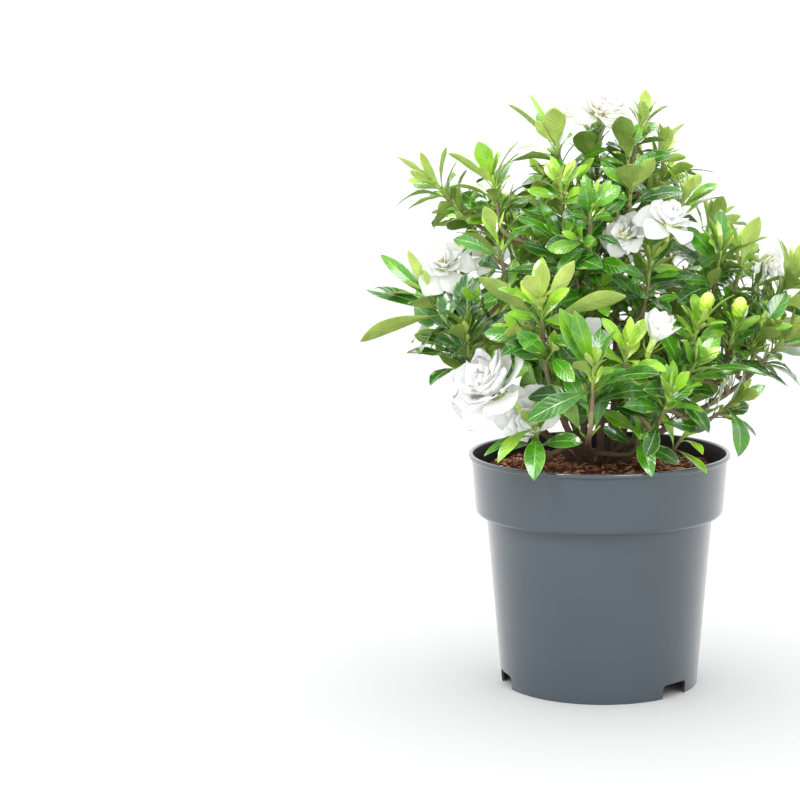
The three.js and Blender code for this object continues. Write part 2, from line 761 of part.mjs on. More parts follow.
function bloomSolid(name, bloom) {
  const frame = bloomFrame(bloom);
  const at = (distance) => vec(bloom.centre).addScaledVector(frame.axis, distance);
  const faces = [];
  let last = ringAt(at(heart.back), frame, heart.backRadius, heartTurns(0));
  fan(faces, [...last].reverse());
  const grow = (ring, open) => {
    wrap(faces, [last, ring], open);
    last = ring;
  };
  grow(ringAt(at(heart.neck), frame, heart.neckRadius, heartTurns(0)));
  bloom.rings.forEach(([count], ring) => {
    const level = heartLevel(ring);
    const low = ringAt(at(level), frame, heartRadius(ring), heartTurns(ring));
    const high = ringAt(at(level + band), frame, heartRadius(ring), heartTurns(ring));
    const open = [];
    for (let index = 0; index < count; index++) {
      const k = index * (6 / count);
      const m = (k + 1) % 6;
      for (let attempt = 0; attempt < 4; attempt++) {
        const petal = petalOf(bloom, ring, index, attempt);
        const lone = loneBlade(petal, petalRings);
        if (!isClear(lone, name)) continue;
        keepClear(name, lone);
        open.push(k);
        const rings = [[low[k], low[m], high[m], high[k]], ...petalRings(petal)];
        wrap(faces, rings);
        fan(faces, rings[rings.length - 1]);
        break;
      }
    }
    grow(low);
    grow(high, open);
  });
  const ring = bloom.rings.length - 1;
  grow(ringAt(at(heartLevel(ring) + heart.top), frame, 1.6, heartTurns(ring)));
  fan(faces, last);
  const solid = solidOfFaces(faces);
  keepClear(name, solid);
  build(name, solid);
}

function budSolids(name, shoot) {
  const line = new THREE.LineCurve3(below(shoot, 1), below(shoot, -bud.calyx));
  place(buds[name], tube(line, radius.pedicel, radius.calyx, 4, 1));
  const frame = framed(directionOf(shoot), new THREE.Vector3(1, 0, 0));
  const outline = [[0, 0.42], [0.2, 0.86], [0.58, 1], [0.9, 0.52]];
  const rings = outline.map(([t, share], i) => {
    const centre = below(shoot, -bud.calyx - CLEARANCE - t * bud.length);
    return ringAt(centre, frame, share * bud.radius, evenTurns(bud.sides, 0.36 * i));
  });
  const tip = below(shoot, -bud.calyx - CLEARANCE - bud.length);
  place(name, closedLoft([...rings, Array(bud.sides).fill(tip)]));
}

// The green shoots and their leaves

// Leaves whose place is known from their tips; the tries move a tip by a little.
const TIP_TRIES = [
  [0, 0, 0], [0, -7, 0], [0, 7, 0], [0, -12, 3], [4, -8, 4], [-4, -8, 4],
  [0, 12, 3], [6, 0, 6], [-6, 0, 6], [0, -18, 6], [8, -6, -6], [-8, -6, -6],
];
function seenLeaf(shoot, [whorl, tipPlace, width, arch, look], attempt) {
  const middle = below(shoot, whorls[whorl].below);
  const tip = vec(tipPlace).add(vec(TIP_TRIES[attempt]));
  const out = across(tip.clone().sub(middle), directionOf(shoot));
  return {
    whorl,
    root: middle.addScaledVector(out, stalkOffset),
    tip,
    up: look ? vec(look) : directionOf(shoot),
    arch,
    width,
    fine: true,
  };
}

// Leaves that follow the whorl rule; the tries turn one round the stem, lift it and shorten it.
const TURN_TRIES = [0, 0.3, -0.3, 0.6, -0.6, 0.15, -0.15, 0.45, -0.45];
function whorlLeaf(shoot, seed, whorl, index, attempt) {
  const w = whorls[whorl];
  const frame = framed(directionOf(shoot), new THREE.Vector3(1, 0, 0));
  const key = seed * 12 + whorl * 3 + index;
  const even = (index + 0.5 * (whorl % 2)) / countOf(shoot, w);
  const turn = ROUND * (even + chance(seed, 1)) + 0.5 * (chance(key, 2) - 0.5) + TURN_TRIES[attempt];
  const lift = w.pitch + 12 * (chance(key, 3) - 0.5) - 4 * attempt;
  const pitch = THREE.MathUtils.degToRad(Math.max(lift, 18));
  const run = frame.axis.clone().multiplyScalar(Math.cos(pitch));
  run.addScaledVector(frame.out(turn), Math.sin(pitch));
  run.z -= w.droop;
  run.normalize();
  const length = shoot.leaf * w.share * (0.9 + 0.2 * chance(key, 4)) * (1 - 0.05 * attempt);
  const root = below(shoot, w.below).addScaledVector(frame.out(turn), stalkOffset);
  return {
    whorl,
    root,
    tip: root.clone().addScaledVector(run, length),
    up: frame.axis.clone().addScaledVector(frame.out(turn + ROUND / 4), 0.4 * (chance(key, 5) - 0.5)),
    arch: 0.04 + 0.1 * chance(key, 6) * (0.5 + 0.3 * whorl),
    width: length * (0.33 + 0.06 * chance(key, 7)),
  };
}

const countOf = (shoot, whorl) => (shoot.small ? 2 : whorl.leaves);

// Adds a leaf to a shoot in the first of its tries that is clear of all that is there.
function addLeaf(name, leaves, tries, make) {
  for (let attempt = 0; attempt < tries.length; attempt++) {
    const leaf = make(attempt);
    const beyondStalk = { ...leaf, root: leaf.root.clone().lerp(leaf.tip, 0.14) };
    if (!isClear(loneBlade(beyondStalk, leafRings), null)) continue;
    const lone = loneBlade(leaf, leafRings);
    if (!isClear(lone, name)) continue;
    if (crossesItself(shootFaces(shoots[name], [...leaves, leaf]))) continue;
    keepClear(name, lone);
    leaves.push(leaf);
    return;
  }
}

function seenLeaves(name) {
  const shoot = shoots[name];
  const leaves = [];
  for (const row of shoot.seen ?? []) {
    addLeaf(name, leaves, TIP_TRIES, (attempt) => seenLeaf(shoot, row, attempt));
  }
  return leaves;
}

// Leaves of the whorl rule, less those whose place a seen leaf has taken.
function fillWhorls(name, seed, leaves) {
  const shoot = shoots[name];
  whorlsOf(shoot).forEach((w, whorl) => {
    const free = new Set(Array(countOf(shoot, w)).keys());
    for (const leaf of leaves.filter((l) => l.fine && l.whorl === whorl)) {
      const distance = (i) => whorlLeaf(shoot, seed, whorl, i, 0).tip.distanceTo(leaf.tip);
      free.delete([...free].sort((a, b) => distance(a) - distance(b))[0]);
    }
    for (const index of free) {
      addLeaf(name, leaves, TURN_TRIES, (attempt) =>
        whorlLeaf(shoot, seed, whorl, index, attempt),
      );
    }
  });
}

// Turns of the corners of a three-sided stem, so that each leaf of a whorl has a side of its own.
function stemCorners(turns) {
  const slots = [...turns];
  const gapAfter = (i) =>
    i + 1 < slots.length ? slots[i + 1] - slots[i] : slots[0] + ROUND - slots[i];
  if (!slots.length) slots.push(0);
  while (slots.length < 3) {
    const gaps = slots.map((_, i) => gapAfter(i));
    const widest = gaps.indexOf(Math.max(...gaps));
    slots.splice(widest + 1, 0, slots[widest] + gaps[widest] / 2);
  }
  const corners = slots.map((slot, i) => (i ? slot - gapAfter(i - 1) / 2 : slot - gapAfter(2) / 2));
  for (let round = 0; round < 12; round++) {
    for (let i = 0; i < 3; i++) {
      const next = i === 2 ? corners[0] + ROUND : corners[i + 1];
      const short = Math.max(0, 1.1 - (next - corners[i])) / 2;
      corners[i] -= short;
      corners[(i + 1) % 3] += short;
    }
  }
  return { slots, corners };
}

// A shoot in one closed surface: a three-sided stem, and each leaf drawn out of a side of it.
function shootFaces(shoot, leaves) {
  const frame = framed(directionOf(shoot), new THREE.Vector3(1, 0, 0));
  const radiusAt = (distance) =>
    THREE.MathUtils.mapLinear(distance, 0, greenOf(shoot), radius.tip, radius.green);
  const ring = (distance, turns) => ringAt(below(shoot, distance), frame, radiusAt(distance), turns);
  const faces = [];
  let last = null;
  let lastTurn = 0;
  for (let whorl = whorlsOf(shoot).length - 1; whorl >= 0; whorl--) {
    const grown = leaves
      .filter((leaf) => leaf.whorl === whorl)
      .map((leaf) => ({ leaf, turn: frame.turnOf(leaf.tip.clone().sub(leaf.root)) }))
      .sort((a, b) => a.turn - b.turn);
    const { slots, corners } = stemCorners(grown.map((g) => g.turn));
    // Start at the corner nearest to the last ring's first one, so that the stem is hardly twisted.
    const apart = (turn) => Math.abs(Math.atan2(Math.sin(turn - lastTurn), Math.cos(turn - lastTurn)));
    const first = last ? [0, 1, 2].sort((a, b) => apart(corners[a]) - apart(corners[b]))[0] : 0;
    const turns = [0, 1, 2].map((k) => corners[(k + first) % 3]);
    lastTurn = turns[0];
    const low = ring(whorls[whorl].below + band / 2, turns);
    const high = ring(whorls[whorl].below - band / 2, turns);
    if (!last) {
      last = ring(greenOf(shoot) - CLEARANCE, turns);
      fan(faces, [...last].reverse());
    }
    wrap(faces, [last, low]);
    const open = [];
    for (const { leaf, turn } of grown) {
      const k = (slots.indexOf(turn) - first + 3) % 3;
      const m = (k + 1) % 3;
      open.push(k);
      wrap(faces, [[low[k], low[m], high[m], high[k]], ...leafRings(leaf)]);
    }
    wrap(faces, [low, high], open);
    last = high;
  }
  wrap(faces, [last, Array(3).fill(vec(shoot.tip))]);
  return faces;
}

// Assembly

const names = Object.keys(shoots);
place("pot", potSolid());
place("soil", soilSolid());
woodyStems();
for (const name of names) {
  const shoot = shoots[name];
  const line = new THREE.LineCurve3(below(shoot, greenOf(shoot) - CLEARANCE), below(shoot, -1));
  keepClear(name, tube(line, radius.green + 0.4, radius.tip + 0.4, 6, 1));
}
for (const bloom of Object.values(blooms)) pedicel(bloom);
for (const name of Object.keys(buds)) budSolids(name, shoots[buds[name]]);
for (const [name, bloom] of Object.entries(blooms)) bloomSolid(name, bloom);
const leavesOf = new Map(names.map((name) => [name, seenLeaves(name)]));
names.forEach((name, seed) => {
  fillWhorls(name, seed, leavesOf.get(name));
  build(name, solidOfFaces(shootFaces(shoots[name], leavesOf.get(name))));
});

const finish = (node) => {
  if (node === "pot") return [colours.pot, 0.45];
  if (node === "soil") return [colours.soil, 0.95];
  if (node === "woody_stems") return [colours.wood, 0.8];
  if (node in blooms) return [colours.petal, 0.6];
  if (node in buds) return [colours.bud, 0.5];
  return [colours.leaf, 0.35];
};

// The pieces of a node in one body, without a scrap or a sealed pocket that fusing may leave.
function fused(solids) {
  const bodies = wasm.Manifold.union(solids).decompose();
  return bodies.sort((a, b) => b.volume() - a.volume())[0];
}

const plant = new THREE.Group();
plant.name = "potted_gardenia";
for (const [node, solids] of pieces) plant.add(meshOf(node, fused(solids), ...finish(node)));

export default plant;
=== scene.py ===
# %% [markdown]
# # A gardenia in its nursery pot
#
# A gardenia is an evergreen shrub with glossy leaves in whorls round its green shoot ends and double
# white blooms. Plain solids of its pot, compost, stems, shoots, blooms and buds, at their real size, come
# packed as a fixed frame. This notebook puts a fine piece in the place of each of them, with the same
# form, and gives it the finish of the real thing. Measures of the plant are in millimetres, as a grower
# would give them, and one factor turns them into the metres that Blender works in.

# %% Load the fixed frame
import math
from collections import Counter, namedtuple
from functools import partial

import bmesh
import bpy
from mathutils import Matrix, Vector, kdtree, noise


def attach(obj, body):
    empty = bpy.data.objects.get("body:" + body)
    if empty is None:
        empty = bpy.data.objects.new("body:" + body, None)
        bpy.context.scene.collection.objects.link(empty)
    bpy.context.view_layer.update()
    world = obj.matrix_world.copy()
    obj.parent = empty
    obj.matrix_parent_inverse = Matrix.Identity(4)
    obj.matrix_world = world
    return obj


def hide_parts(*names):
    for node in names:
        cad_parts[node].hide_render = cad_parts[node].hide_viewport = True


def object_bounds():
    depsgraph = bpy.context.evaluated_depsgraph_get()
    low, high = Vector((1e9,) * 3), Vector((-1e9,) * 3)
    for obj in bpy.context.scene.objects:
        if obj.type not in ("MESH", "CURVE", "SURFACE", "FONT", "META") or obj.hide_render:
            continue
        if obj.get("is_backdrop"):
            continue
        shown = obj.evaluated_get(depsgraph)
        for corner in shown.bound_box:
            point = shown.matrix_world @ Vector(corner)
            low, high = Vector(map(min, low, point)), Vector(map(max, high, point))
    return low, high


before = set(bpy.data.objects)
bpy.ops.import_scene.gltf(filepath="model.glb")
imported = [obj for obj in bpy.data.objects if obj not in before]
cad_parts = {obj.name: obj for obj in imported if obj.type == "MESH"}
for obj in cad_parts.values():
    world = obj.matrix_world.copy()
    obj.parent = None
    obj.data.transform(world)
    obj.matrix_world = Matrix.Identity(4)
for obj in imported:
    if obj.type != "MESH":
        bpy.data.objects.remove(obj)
CAD_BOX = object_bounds()
BODY = "root"
MM = 0.001
print("The frame holds", len(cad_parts), "nodes")

# %% [markdown]
# ## The camera and the studio
#
# A plant of half a metre is best seen from a few steps away through a long lens, so that its rim and its
# crown keep their proportions. The camera stands as high as the top of the plant and looks a little down.
# It is turned to the left, which puts the pot right of the middle, and rolled by less than a degree, so
# that the pot still stands upright in the picture.

# %% Camera
CAMERA_PLACE = Vector((0, -2000, 552))
CAMERA_LEFT, CAMERA_DOWN, CAMERA_ROLL = 5.02, 8.51, -0.71  # degrees
CAMERA_LENS = 103.1  # on a sensor 36 mm wide


def placed(name, data):
    """An object of the scene that shows a mesh, a lamp or a camera."""
    made = bpy.data.objects.new(name, data)
    bpy.context.scene.collection.objects.link(made)
    return made


camera_data = bpy.data.cameras.new("camera")
camera_data.lens = CAMERA_LENS
camera = placed("camera", camera_data)
camera.matrix_world = (
    Matrix.Translation(CAMERA_PLACE * MM)
    @ Matrix.Rotation(math.radians(CAMERA_LEFT), 4, "Z")
    @ Matrix.Rotation(math.radians(90 - CAMERA_DOWN), 4, "X")
    @ Matrix.Rotation(math.radians(CAMERA_ROLL), 4, "Z")
)
bpy.context.scene.camera = camera
print("The camera stands", CAMERA_PLACE.length * MM, "m from the pot's foot")

# %% [markdown]
# Every finish below is a small graph of shader nodes, and what repeats is grown by a graph of geometry
# nodes. Both kinds are written with one helper that adds a node, sets it up, and fills its inputs. The
# filling is a helper of its own, because the shader of a new material is there already and is only
# filled. Colours are written as the sRGB values that a colour picker shows. Shaders reckon in linear
# light, so another helper turns them.

# %% Helpers for nodes and colours
def linear(colour, alpha=1.0):
    """An sRGB colour such as "#5f6870" as linear red, green and blue, with alpha."""
    channels = [int(colour[i : i + 2], 16) / 255 for i in (1, 3, 5)]
    bent = [c / 12.92 if c <= 0.04045 else ((c + 0.055) / 1.055) ** 2.4 for c in channels]
    return (*bent, alpha)


def fill(node, inputs):
    """Fills a node's inputs, by name or in order, with values or with links from other nodes."""
    for key, item in inputs.items() if isinstance(inputs, dict) else enumerate(inputs):
        source = item.outputs[0] if isinstance(item, bpy.types.Node) else item
        if isinstance(source, bpy.types.NodeSocket):
            node.id_data.links.new(source, node.inputs[key])
        else:
            node.inputs[key].default_value = source


def add_node(tree, kind, inputs=(), stops=(), **settings):
    """Adds a node, sets it up, and fills its inputs."""
    node = tree.nodes.new(kind)
    for name, value in settings.items():
        setattr(node, name, value)
    if stops:
        elements = node.color_ramp.elements
        elements.remove(elements[1])
        for i, (place, colour) in enumerate(stops):
            stop = elements.new(place) if i else elements[0]
            stop.position, stop.color = place, linear(colour)
    fill(node, inputs)
    return node


def new_material(name, values):
    """A material, what adds nodes to it, and its shader, whose plain values are set on its own sockets."""
    material = bpy.data.materials.new(name)
    material.use_nodes = True
    shader = material.node_tree.nodes["Principled BSDF"]
    fill(shader, values)
    return material, partial(add_node, material.node_tree), shader


# %% [markdown]
# The floor is a wide sheet of white paper, and the air round it is white too, as in a catalogue picture.
# Light comes from all round, with a large soft window high on the left that gives the leaves their gloss,
# and weaker ones on the right and behind. The windows don't light the paper and the petals, because both
# are white already: the paper would lose the soft shade that the pot casts on it, and the petals the
# shade of their folds. Light linking leaves them out. Two white cards in front are linked to the blooms
# alone and light them softly. The air is white all round near the horizon, so the paper has no edge.

# %% Floor, surroundings and lamps
FLOOR_RADIUS = 14.0  # metres, so wide that its edge is never seen as one
Window = namedtuple("Window", "place size power")
WINDOWS = {
    "window_left": Window((-1.5, -1.5, 2.3), 0.9, 74),
    "window_right": Window((1.1, -2.2, 1.5), 1.1, 42),
    "window_back": Window((0.4, 1.8, 2.2), 1.4, 32),
}
CARDS = {
    "white_card": Window((-0.6, -2.3, 1.2), 2.4, 40),
    "low_card": Window((1.1, -2.1, 0.4), 1.6, 36),
}

SKY_MEAN, SKY_REAR, SKY_OVER = 0.88, 0.28, 0.45  # the air is brighter behind and above than in front
HAZE_FULL, HAZE_END = 0.14, 0.3  # up to where the air is white, as the sine of the angle above the horizon
HAZE_STRENGTH = 1.05
LIT_PLACE = Vector((0, 0, 0.3))  # where the lamps point, in metres

bpy.context.scene.view_settings.view_transform = "Standard"
world = bpy.data.worlds.new("white_studio")
world.use_nodes = True
add = partial(add_node, world.node_tree)
sky = add("ShaderNodeSeparateXYZ", {0: add("ShaderNodeTexCoord").outputs["Generated"]})
rear = add("ShaderNodeMath", (sky.outputs["Y"], SKY_REAR, SKY_MEAN), operation="MULTIPLY_ADD")
over = add("ShaderNodeMath", (sky.outputs["Z"], SKY_OVER, rear), operation="MULTIPLY_ADD")
level = add("ShaderNodeMath", {0: sky.outputs["Z"]}, operation="ABSOLUTE")
haze = add("ShaderNodeMapRange", (level, HAZE_FULL, HAZE_END, HAZE_STRENGTH, 0.0))
air = add("ShaderNodeMath", (over, haze), operation="MAXIMUM")
fill(world.node_tree.nodes["Background"], {"Color": linear("#feffff"), "Strength": air})
bpy.context.scene.world = world


def placed_form(name, form):
    """An object that shows a finished form."""
    mesh = bpy.data.meshes.new(name)
    form.to_mesh(mesh)
    form.free()
    return placed(name, mesh)


sheet = bmesh.new()
bmesh.ops.create_circle(sheet, cap_ends=True, segments=96, radius=FLOOR_RADIUS)
floor = placed_form("floor", sheet)
paper, add, shader = new_material("white_paper", {"Roughness": 0.9, "Specular IOR Level": 0.1})
place = add("ShaderNodeTexCoord").outputs["Object"]
fibres = add("ShaderNodeTexNoise", {"Vector": place, "Scale": 900, "Detail": 3})
shade = add("ShaderNodeMix", {0: fibres, 6: linear("#f8f8f8"), 7: linear("#fefefe")}, data_type="RGBA")
fill(shader, {"Base Color": shade.outputs[2]})
floor.data.materials.append(paper)
floor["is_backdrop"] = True

white_things = bpy.data.collections.new("not_lit_by_windows")
lit_by_cards = bpy.data.collections.new("lit_by_cards")


def keep_windows_off(thing):
    """Leaves a white thing out of the windows' light."""
    white_things.objects.link(thing)
    white_things.collection_objects[-1].light_linking.link_state = "EXCLUDE"


keep_windows_off(floor)
for name, window in {**WINDOWS, **CARDS}.items():
    lamp_data = bpy.data.lights.new(name, "AREA")
    lamp_data.size = window.size
    lamp_data.energy = window.power
    lamp = placed(name, lamp_data)
    lamp.location = window.place
    lamp.rotation_euler = (LIT_PLACE - lamp.location).to_track_quat("-Z", "Y").to_euler()
    lamp.light_linking.receiver_collection = lit_by_cards if name in CARDS else white_things
print("The studio has", len(WINDOWS), "windows and", len(CARDS), "cards")

# %% [markdown]
# ## The pot
#
# A nursery pot is injection-moulded polypropylene, grey outside and black inside, with a rolled lip, a
# stepped collar that lets pots stack, and notches at the foot that let water out. Such a thing is turned
# from one outline. Its corners are never sharp, because a mould can't fill them, so the outline is given
# by its corners and the radius that rounds each of them. The notches are cut afterwards.

# %% Turned forms
ROUND = 2 * math.pi


def rounded(corners, steps=5):
    """An outline given as radius, height and rounding at each corner, with each corner drawn as a curve."""
    outline = []
    for i, (r, z, rounding) in enumerate(corners):
        corner = Vector((r, z))
        if not rounding or i in (0, len(corners) - 1):
            outline.append(corner)
            continue
        before = Vector(corners[i - 1][:2]) - corner
        after = Vector(corners[i + 1][:2]) - corner
        reach = min(rounding, before.length / 2, after.length / 2)
        start, end = corner + before.normalized() * reach, corner + after.normalized() * reach
        for k in range(steps + 1):
            t = k / steps
            outline.append(start * (1 - t) ** 2 + corner * 2 * t * (1 - t) + end * t**2)
    return outline


def formed(name, points, faces=(), edges=(), **numbers):
    """A mesh that keeps a number for each of its points under every given name."""
    mesh = bpy.data.meshes.new(name)
    mesh.from_pydata(points, edges, faces)
    for key, values in numbers.items():
        mesh.attributes.new(key, "FLOAT", "POINT").data.foreach_set("value", values)
    return mesh


def turned(name, outline, sides):
    """A closed mesh turned from an outline that starts and ends on the axis, in millimetres."""
    points, rings, faces = [], [], []
    for r, z in outline:
        count = 1 if r < 1e-6 else sides
        rings.append(range(len(points), len(points) + count))
        for k in range(count):
            turn = ROUND * k / sides
            points.append(Vector((r * math.cos(turn), r * math.sin(turn), z)) * MM)
    for low, high in zip(rings, rings[1:]):
        for k in range(sides):
            m = (k + 1) % sides
            corners = [low[k % len(low)], low[m % len(low)], high[m % len(high)], high[k % len(high)]]
            face = list(dict.fromkeys(corners))
            if len(face) > 2:
                faces.append(face)
    mesh = formed(name, points, faces)
    mesh.shade_smooth()
    return placed(name, mesh)


# %% Pot
POT_HEIGHT = 206
POT_FLOOR = 9  # height of the raised floor's underside
POT_WALL = 2.2
WAIST_HEIGHT, WAIST_RADIUS, FOOT_RADIUS = 151.5, 99.6, 87
COLLAR_LOW, COLLAR_TOP, RIM_RADIUS, LIP_HEIGHT = 109.6, 112.4, 115, 3.6
SHOULDER = 5
NOTCH_WIDTH, NOTCH_HEIGHT, NOTCH_INNER = 30, 12.3, 62
NOTCH_ROUNDING, NOTCH_DEPTH = 4, 6  # of a notch's corners, and how far its cutter stands out of the wall
NOTCH_BEARINGS = (49, 169, 289)  # degrees from the front, to the right
POT_SIDES = 144
POT_CREASE = 32  # degrees from which an edge is drawn sharp

lip_z = POT_HEIGHT - LIP_HEIGHT
pot_outline = rounded([
    (0, POT_FLOOR, 0),
    (FOOT_RADIUS - POT_WALL + 0.6, POT_FLOOR, 1.5),
    (FOOT_RADIUS - POT_WALL, 0, 0.5),
    (FOOT_RADIUS, 0, 0.8),
    (WAIST_RADIUS, WAIST_HEIGHT, 1.2),
    (COLLAR_LOW - 1, WAIST_HEIGHT + 0.6, SHOULDER),
    (COLLAR_TOP, lip_z - 1, 1.2),
    (RIM_RADIUS, lip_z, 1.0),
    (RIM_RADIUS, POT_HEIGHT, 1.6),
    (RIM_RADIUS - 3.6, POT_HEIGHT, 1.4),
    (COLLAR_TOP - POT_WALL, lip_z - 3, 2),
    (COLLAR_LOW - POT_WALL, WAIST_HEIGHT + SHOULDER, 2),
    (WAIST_RADIUS - POT_WALL, WAIST_HEIGHT + POT_WALL, 2),
    (FOOT_RADIUS - POT_WALL + 1, POT_FLOOR + POT_WALL, 2),
    (0, POT_FLOOR + POT_WALL, 0),
])
pot = turned("nursery_pot", pot_outline, POT_SIDES)


def notch_cutter(bearing):
    """A block with a round-cornered top that opens a notch in the foot, pointing outwards."""
    form = bmesh.new()
    facing = Matrix.Rotation(math.radians(bearing), 4, "Z")
    reach = FOOT_RADIUS + NOTCH_DEPTH - NOTCH_INNER
    size = Matrix.Diagonal((NOTCH_WIDTH * MM, reach * MM, 2 * NOTCH_HEIGHT * MM, 1))
    middle = Matrix.Translation((0, -(NOTCH_INNER + reach / 2) * MM, 0))
    bmesh.ops.create_cube(form, matrix=facing @ middle @ size)
    out = facing.to_3x3() @ Vector((0, -1, 0))
    long_edges = [e for e in form.edges if abs((e.verts[0].co - e.verts[1].co).normalized().dot(out)) > 0.9]
    bmesh.ops.bevel(
        form, geom=long_edges, offset=NOTCH_ROUNDING * MM, segments=5, affect="EDGES", profile=0.5
    )
    return placed_form("notch", form)


def settled(piece):
    """Gives a piece the mesh that its modifiers make, and removes them."""
    depsgraph = bpy.context.evaluated_depsgraph_get()
    seen = piece.evaluated_get(depsgraph)
    mesh = bpy.data.meshes.new_from_object(seen, preserve_all_data_layers=True, depsgraph=depsgraph)
    piece.modifiers.clear()
    piece.data = mesh
    return piece


for bearing in NOTCH_BEARINGS:
    cutter = notch_cutter(bearing)
    cut = pot.modifiers.new("notch", "BOOLEAN")
    cut.operation = "DIFFERENCE"
    cut.solver = "EXACT"
    cut.object = cutter
    settled(pot)
    bpy.data.objects.remove(cutter)
pot.data.shade_smooth()
pot.data.set_sharp_from_angle(angle=math.radians(POT_CREASE))
print("The pot has", len(pot.data.polygons), "faces")

# %% [markdown]
# Moulded polypropylene has a satin skin that it takes from the mould, with a grain of about half a
# millimetre. That grain is too fine for a picture of the whole pot, so it is drawn at one millimetre. Wide,
# faint clouds in the gloss come from handling and from how the melt has flowed.

# %% Satin polypropylene
GRAIN = 1.0  # millimetres


def polypropylene(name, deep, light, roughness, coat):
    """Injection-moulded polypropylene: satin, with a fine mould grain and faint clouds of gloss."""
    material, add, shader = new_material(name, {"IOR": 1.5, "Coat Weight": coat, "Coat Roughness": 0.2})
    place = add("ShaderNodeTexCoord").outputs["Object"]
    clouds = add("ShaderNodeTexNoise", {"Vector": place, "Scale": 14, "Detail": 3})
    colour = add("ShaderNodeMix", {0: clouds, 6: linear(deep), 7: linear(light)}, data_type="RGBA")
    gloss = add("ShaderNodeMapRange", {0: clouds, 3: roughness - 0.05, 4: roughness + 0.06})
    grain = add("ShaderNodeTexNoise", {"Vector": place, "Scale": 1 / (GRAIN * MM), "Detail": 2})
    bump = add("ShaderNodeBump", {"Strength": 0.12, "Distance": 0.1 * MM, "Height": grain})
    fill(shader, {"Base Color": colour.outputs[2], "Roughness": gloss, "Normal": bump})
    return material


def outwards(place):
    """The level direction from the pot's middle to a place."""
    return Vector((place.x, place.y, 0)).normalized()


pot.data.materials.clear()
pot.data.materials.append(polypropylene("grey_polypropylene", "#2f3a43", "#37444d", 0.3, 1.0))
pot.data.materials.append(polypropylene("black_polypropylene", "#040405", "#070708", 0.6, 0.0))
for face in pot.data.polygons:
    faces_in = face.normal.dot(outwards(face.center)) < -0.5 and face.center.z < (POT_HEIGHT - 1.5) * MM
    on_floor = face.normal.z > 0.5 and face.center.z < 2 * NOTCH_HEIGHT * MM
    face.material_index = int(faces_in or on_floor)
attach(pot, BODY)
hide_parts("pot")

# %% [markdown]
# ## The compost
#
# Shrubs are potted in composted bark and coir. Its top is a lumpy bed of dark crumbs with reddish shreds
# of bark and a few pale fibres lying on it. The bed is one turned form whose top is pushed about by
# noise. The shreds repeat by the thousand, which is work for Geometry Nodes: points are scattered on the
# bed and each gets a shred, turned and stretched by a seeded draw.

# %% Compost bed
BED_EDGE, BED_CENTRE, BED_RADIUS = 188, 197, 109
BED_LUMPS, BED_GAP = 2.2, 0.4  # how high its lumps stand, and how far it keeps off the pot's inside
BED_SIDES, BED_RINGS = 120, 44

bed_top = [
    (BED_RADIUS * (1 - k / BED_RINGS), BED_EDGE + (BED_CENTRE - BED_EDGE) * k / BED_RINGS, 0)
    for k in range(BED_RINGS + 1)
]
bed = turned("compost_bed", rounded([
    (0, POT_FLOOR + POT_WALL + BED_GAP, 0),
    (FOOT_RADIUS - POT_WALL + 0.4, POT_FLOOR + POT_WALL + BED_GAP, 0),
    (WAIST_RADIUS - POT_WALL - 0.6, WAIST_HEIGHT + 2, 0),
    (COLLAR_LOW - POT_WALL - 0.8, WAIST_HEIGHT + SHOULDER + 3, 0),
    *bed_top,
]), BED_SIDES)
for vertex in bed.data.vertices:
    if vertex.co.z > (BED_EDGE - 1) * MM:
        height = noise.fractal(vertex.co * 60, 1.0, 2.0, 4) + 0.6 * noise.noise(vertex.co * 300)
        vertex.co.z += BED_LUMPS * MM * max(min(height, 1.2), -1.2)


def composted_bark(name, dark, warm, pale):
    """Composted bark and coir: matt and crumbly, from nearly black to reddish brown, with pale fibres."""
    material, add, shader = new_material(name, {"Roughness": 0.92, "Specular IOR Level": 0.25})
    place = add("ShaderNodeTexCoord").outputs["Object"]
    draw = add("ShaderNodeAttribute", attribute_name="shade").outputs["Fac"]
    crumbs = add("ShaderNodeTexNoise", {"Vector": place, "Scale": 420, "Detail": 4})
    mixed = add("ShaderNodeMath", (crumbs, draw), operation="ADD")
    colour = add("ShaderNodeValToRGB", {0: mixed}, [(0.3, dark), (0.75, warm), (0.98, pale)])
    bump = add("ShaderNodeBump", {"Strength": 0.8, "Distance": 0.8 * MM, "Height": crumbs})
    fill(shader, {"Base Color": colour, "Normal": bump})
    return material


bed.data.materials.append(composted_bark("composted_bark", "#1d0f0a", "#5c3826", "#8a6044"))
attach(bed, BODY)
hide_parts("soil")
print("The bed has", len(bed.data.polygons), "faces")

# %% [markdown]
# A tree of geometry nodes has named inputs, like the settings of a machine. They are set through each
# socket's identifier, before anything is evaluated. What comes out is kept as a plain mesh.

# %% Growing a mesh with geometry nodes
def new_tree(name, sizes):
    """A tree with a geometry in and out and an input for each name, what adds its nodes, and its inputs."""
    tree = bpy.data.node_groups.new(name, "GeometryNodeTree")
    tree.interface.new_socket("Geometry", in_out="INPUT", socket_type="NodeSocketGeometry")
    for label, (kind, value) in sizes.items():
        socket = tree.interface.new_socket(label, in_out="INPUT", socket_type="NodeSocket" + kind)
        if value is not None:
            socket.default_value = value
    tree.interface.new_socket("Geometry", in_out="OUTPUT", socket_type="NodeSocketGeometry")
    return tree, partial(add_node, tree), tree.nodes.new("NodeGroupInput").outputs


def grown(source, tree, values):
    """Runs a tree on a mesh object and leaves it with the plain mesh that the tree makes."""
    modifier = source.modifiers.new("grown", "NODES")
    modifier.node_group = tree
    for item in tree.interface.items_tree:
        if item.in_out == "INPUT" and item.name in values:
            modifier[item.identifier] = values[item.name]
    return settled(source)


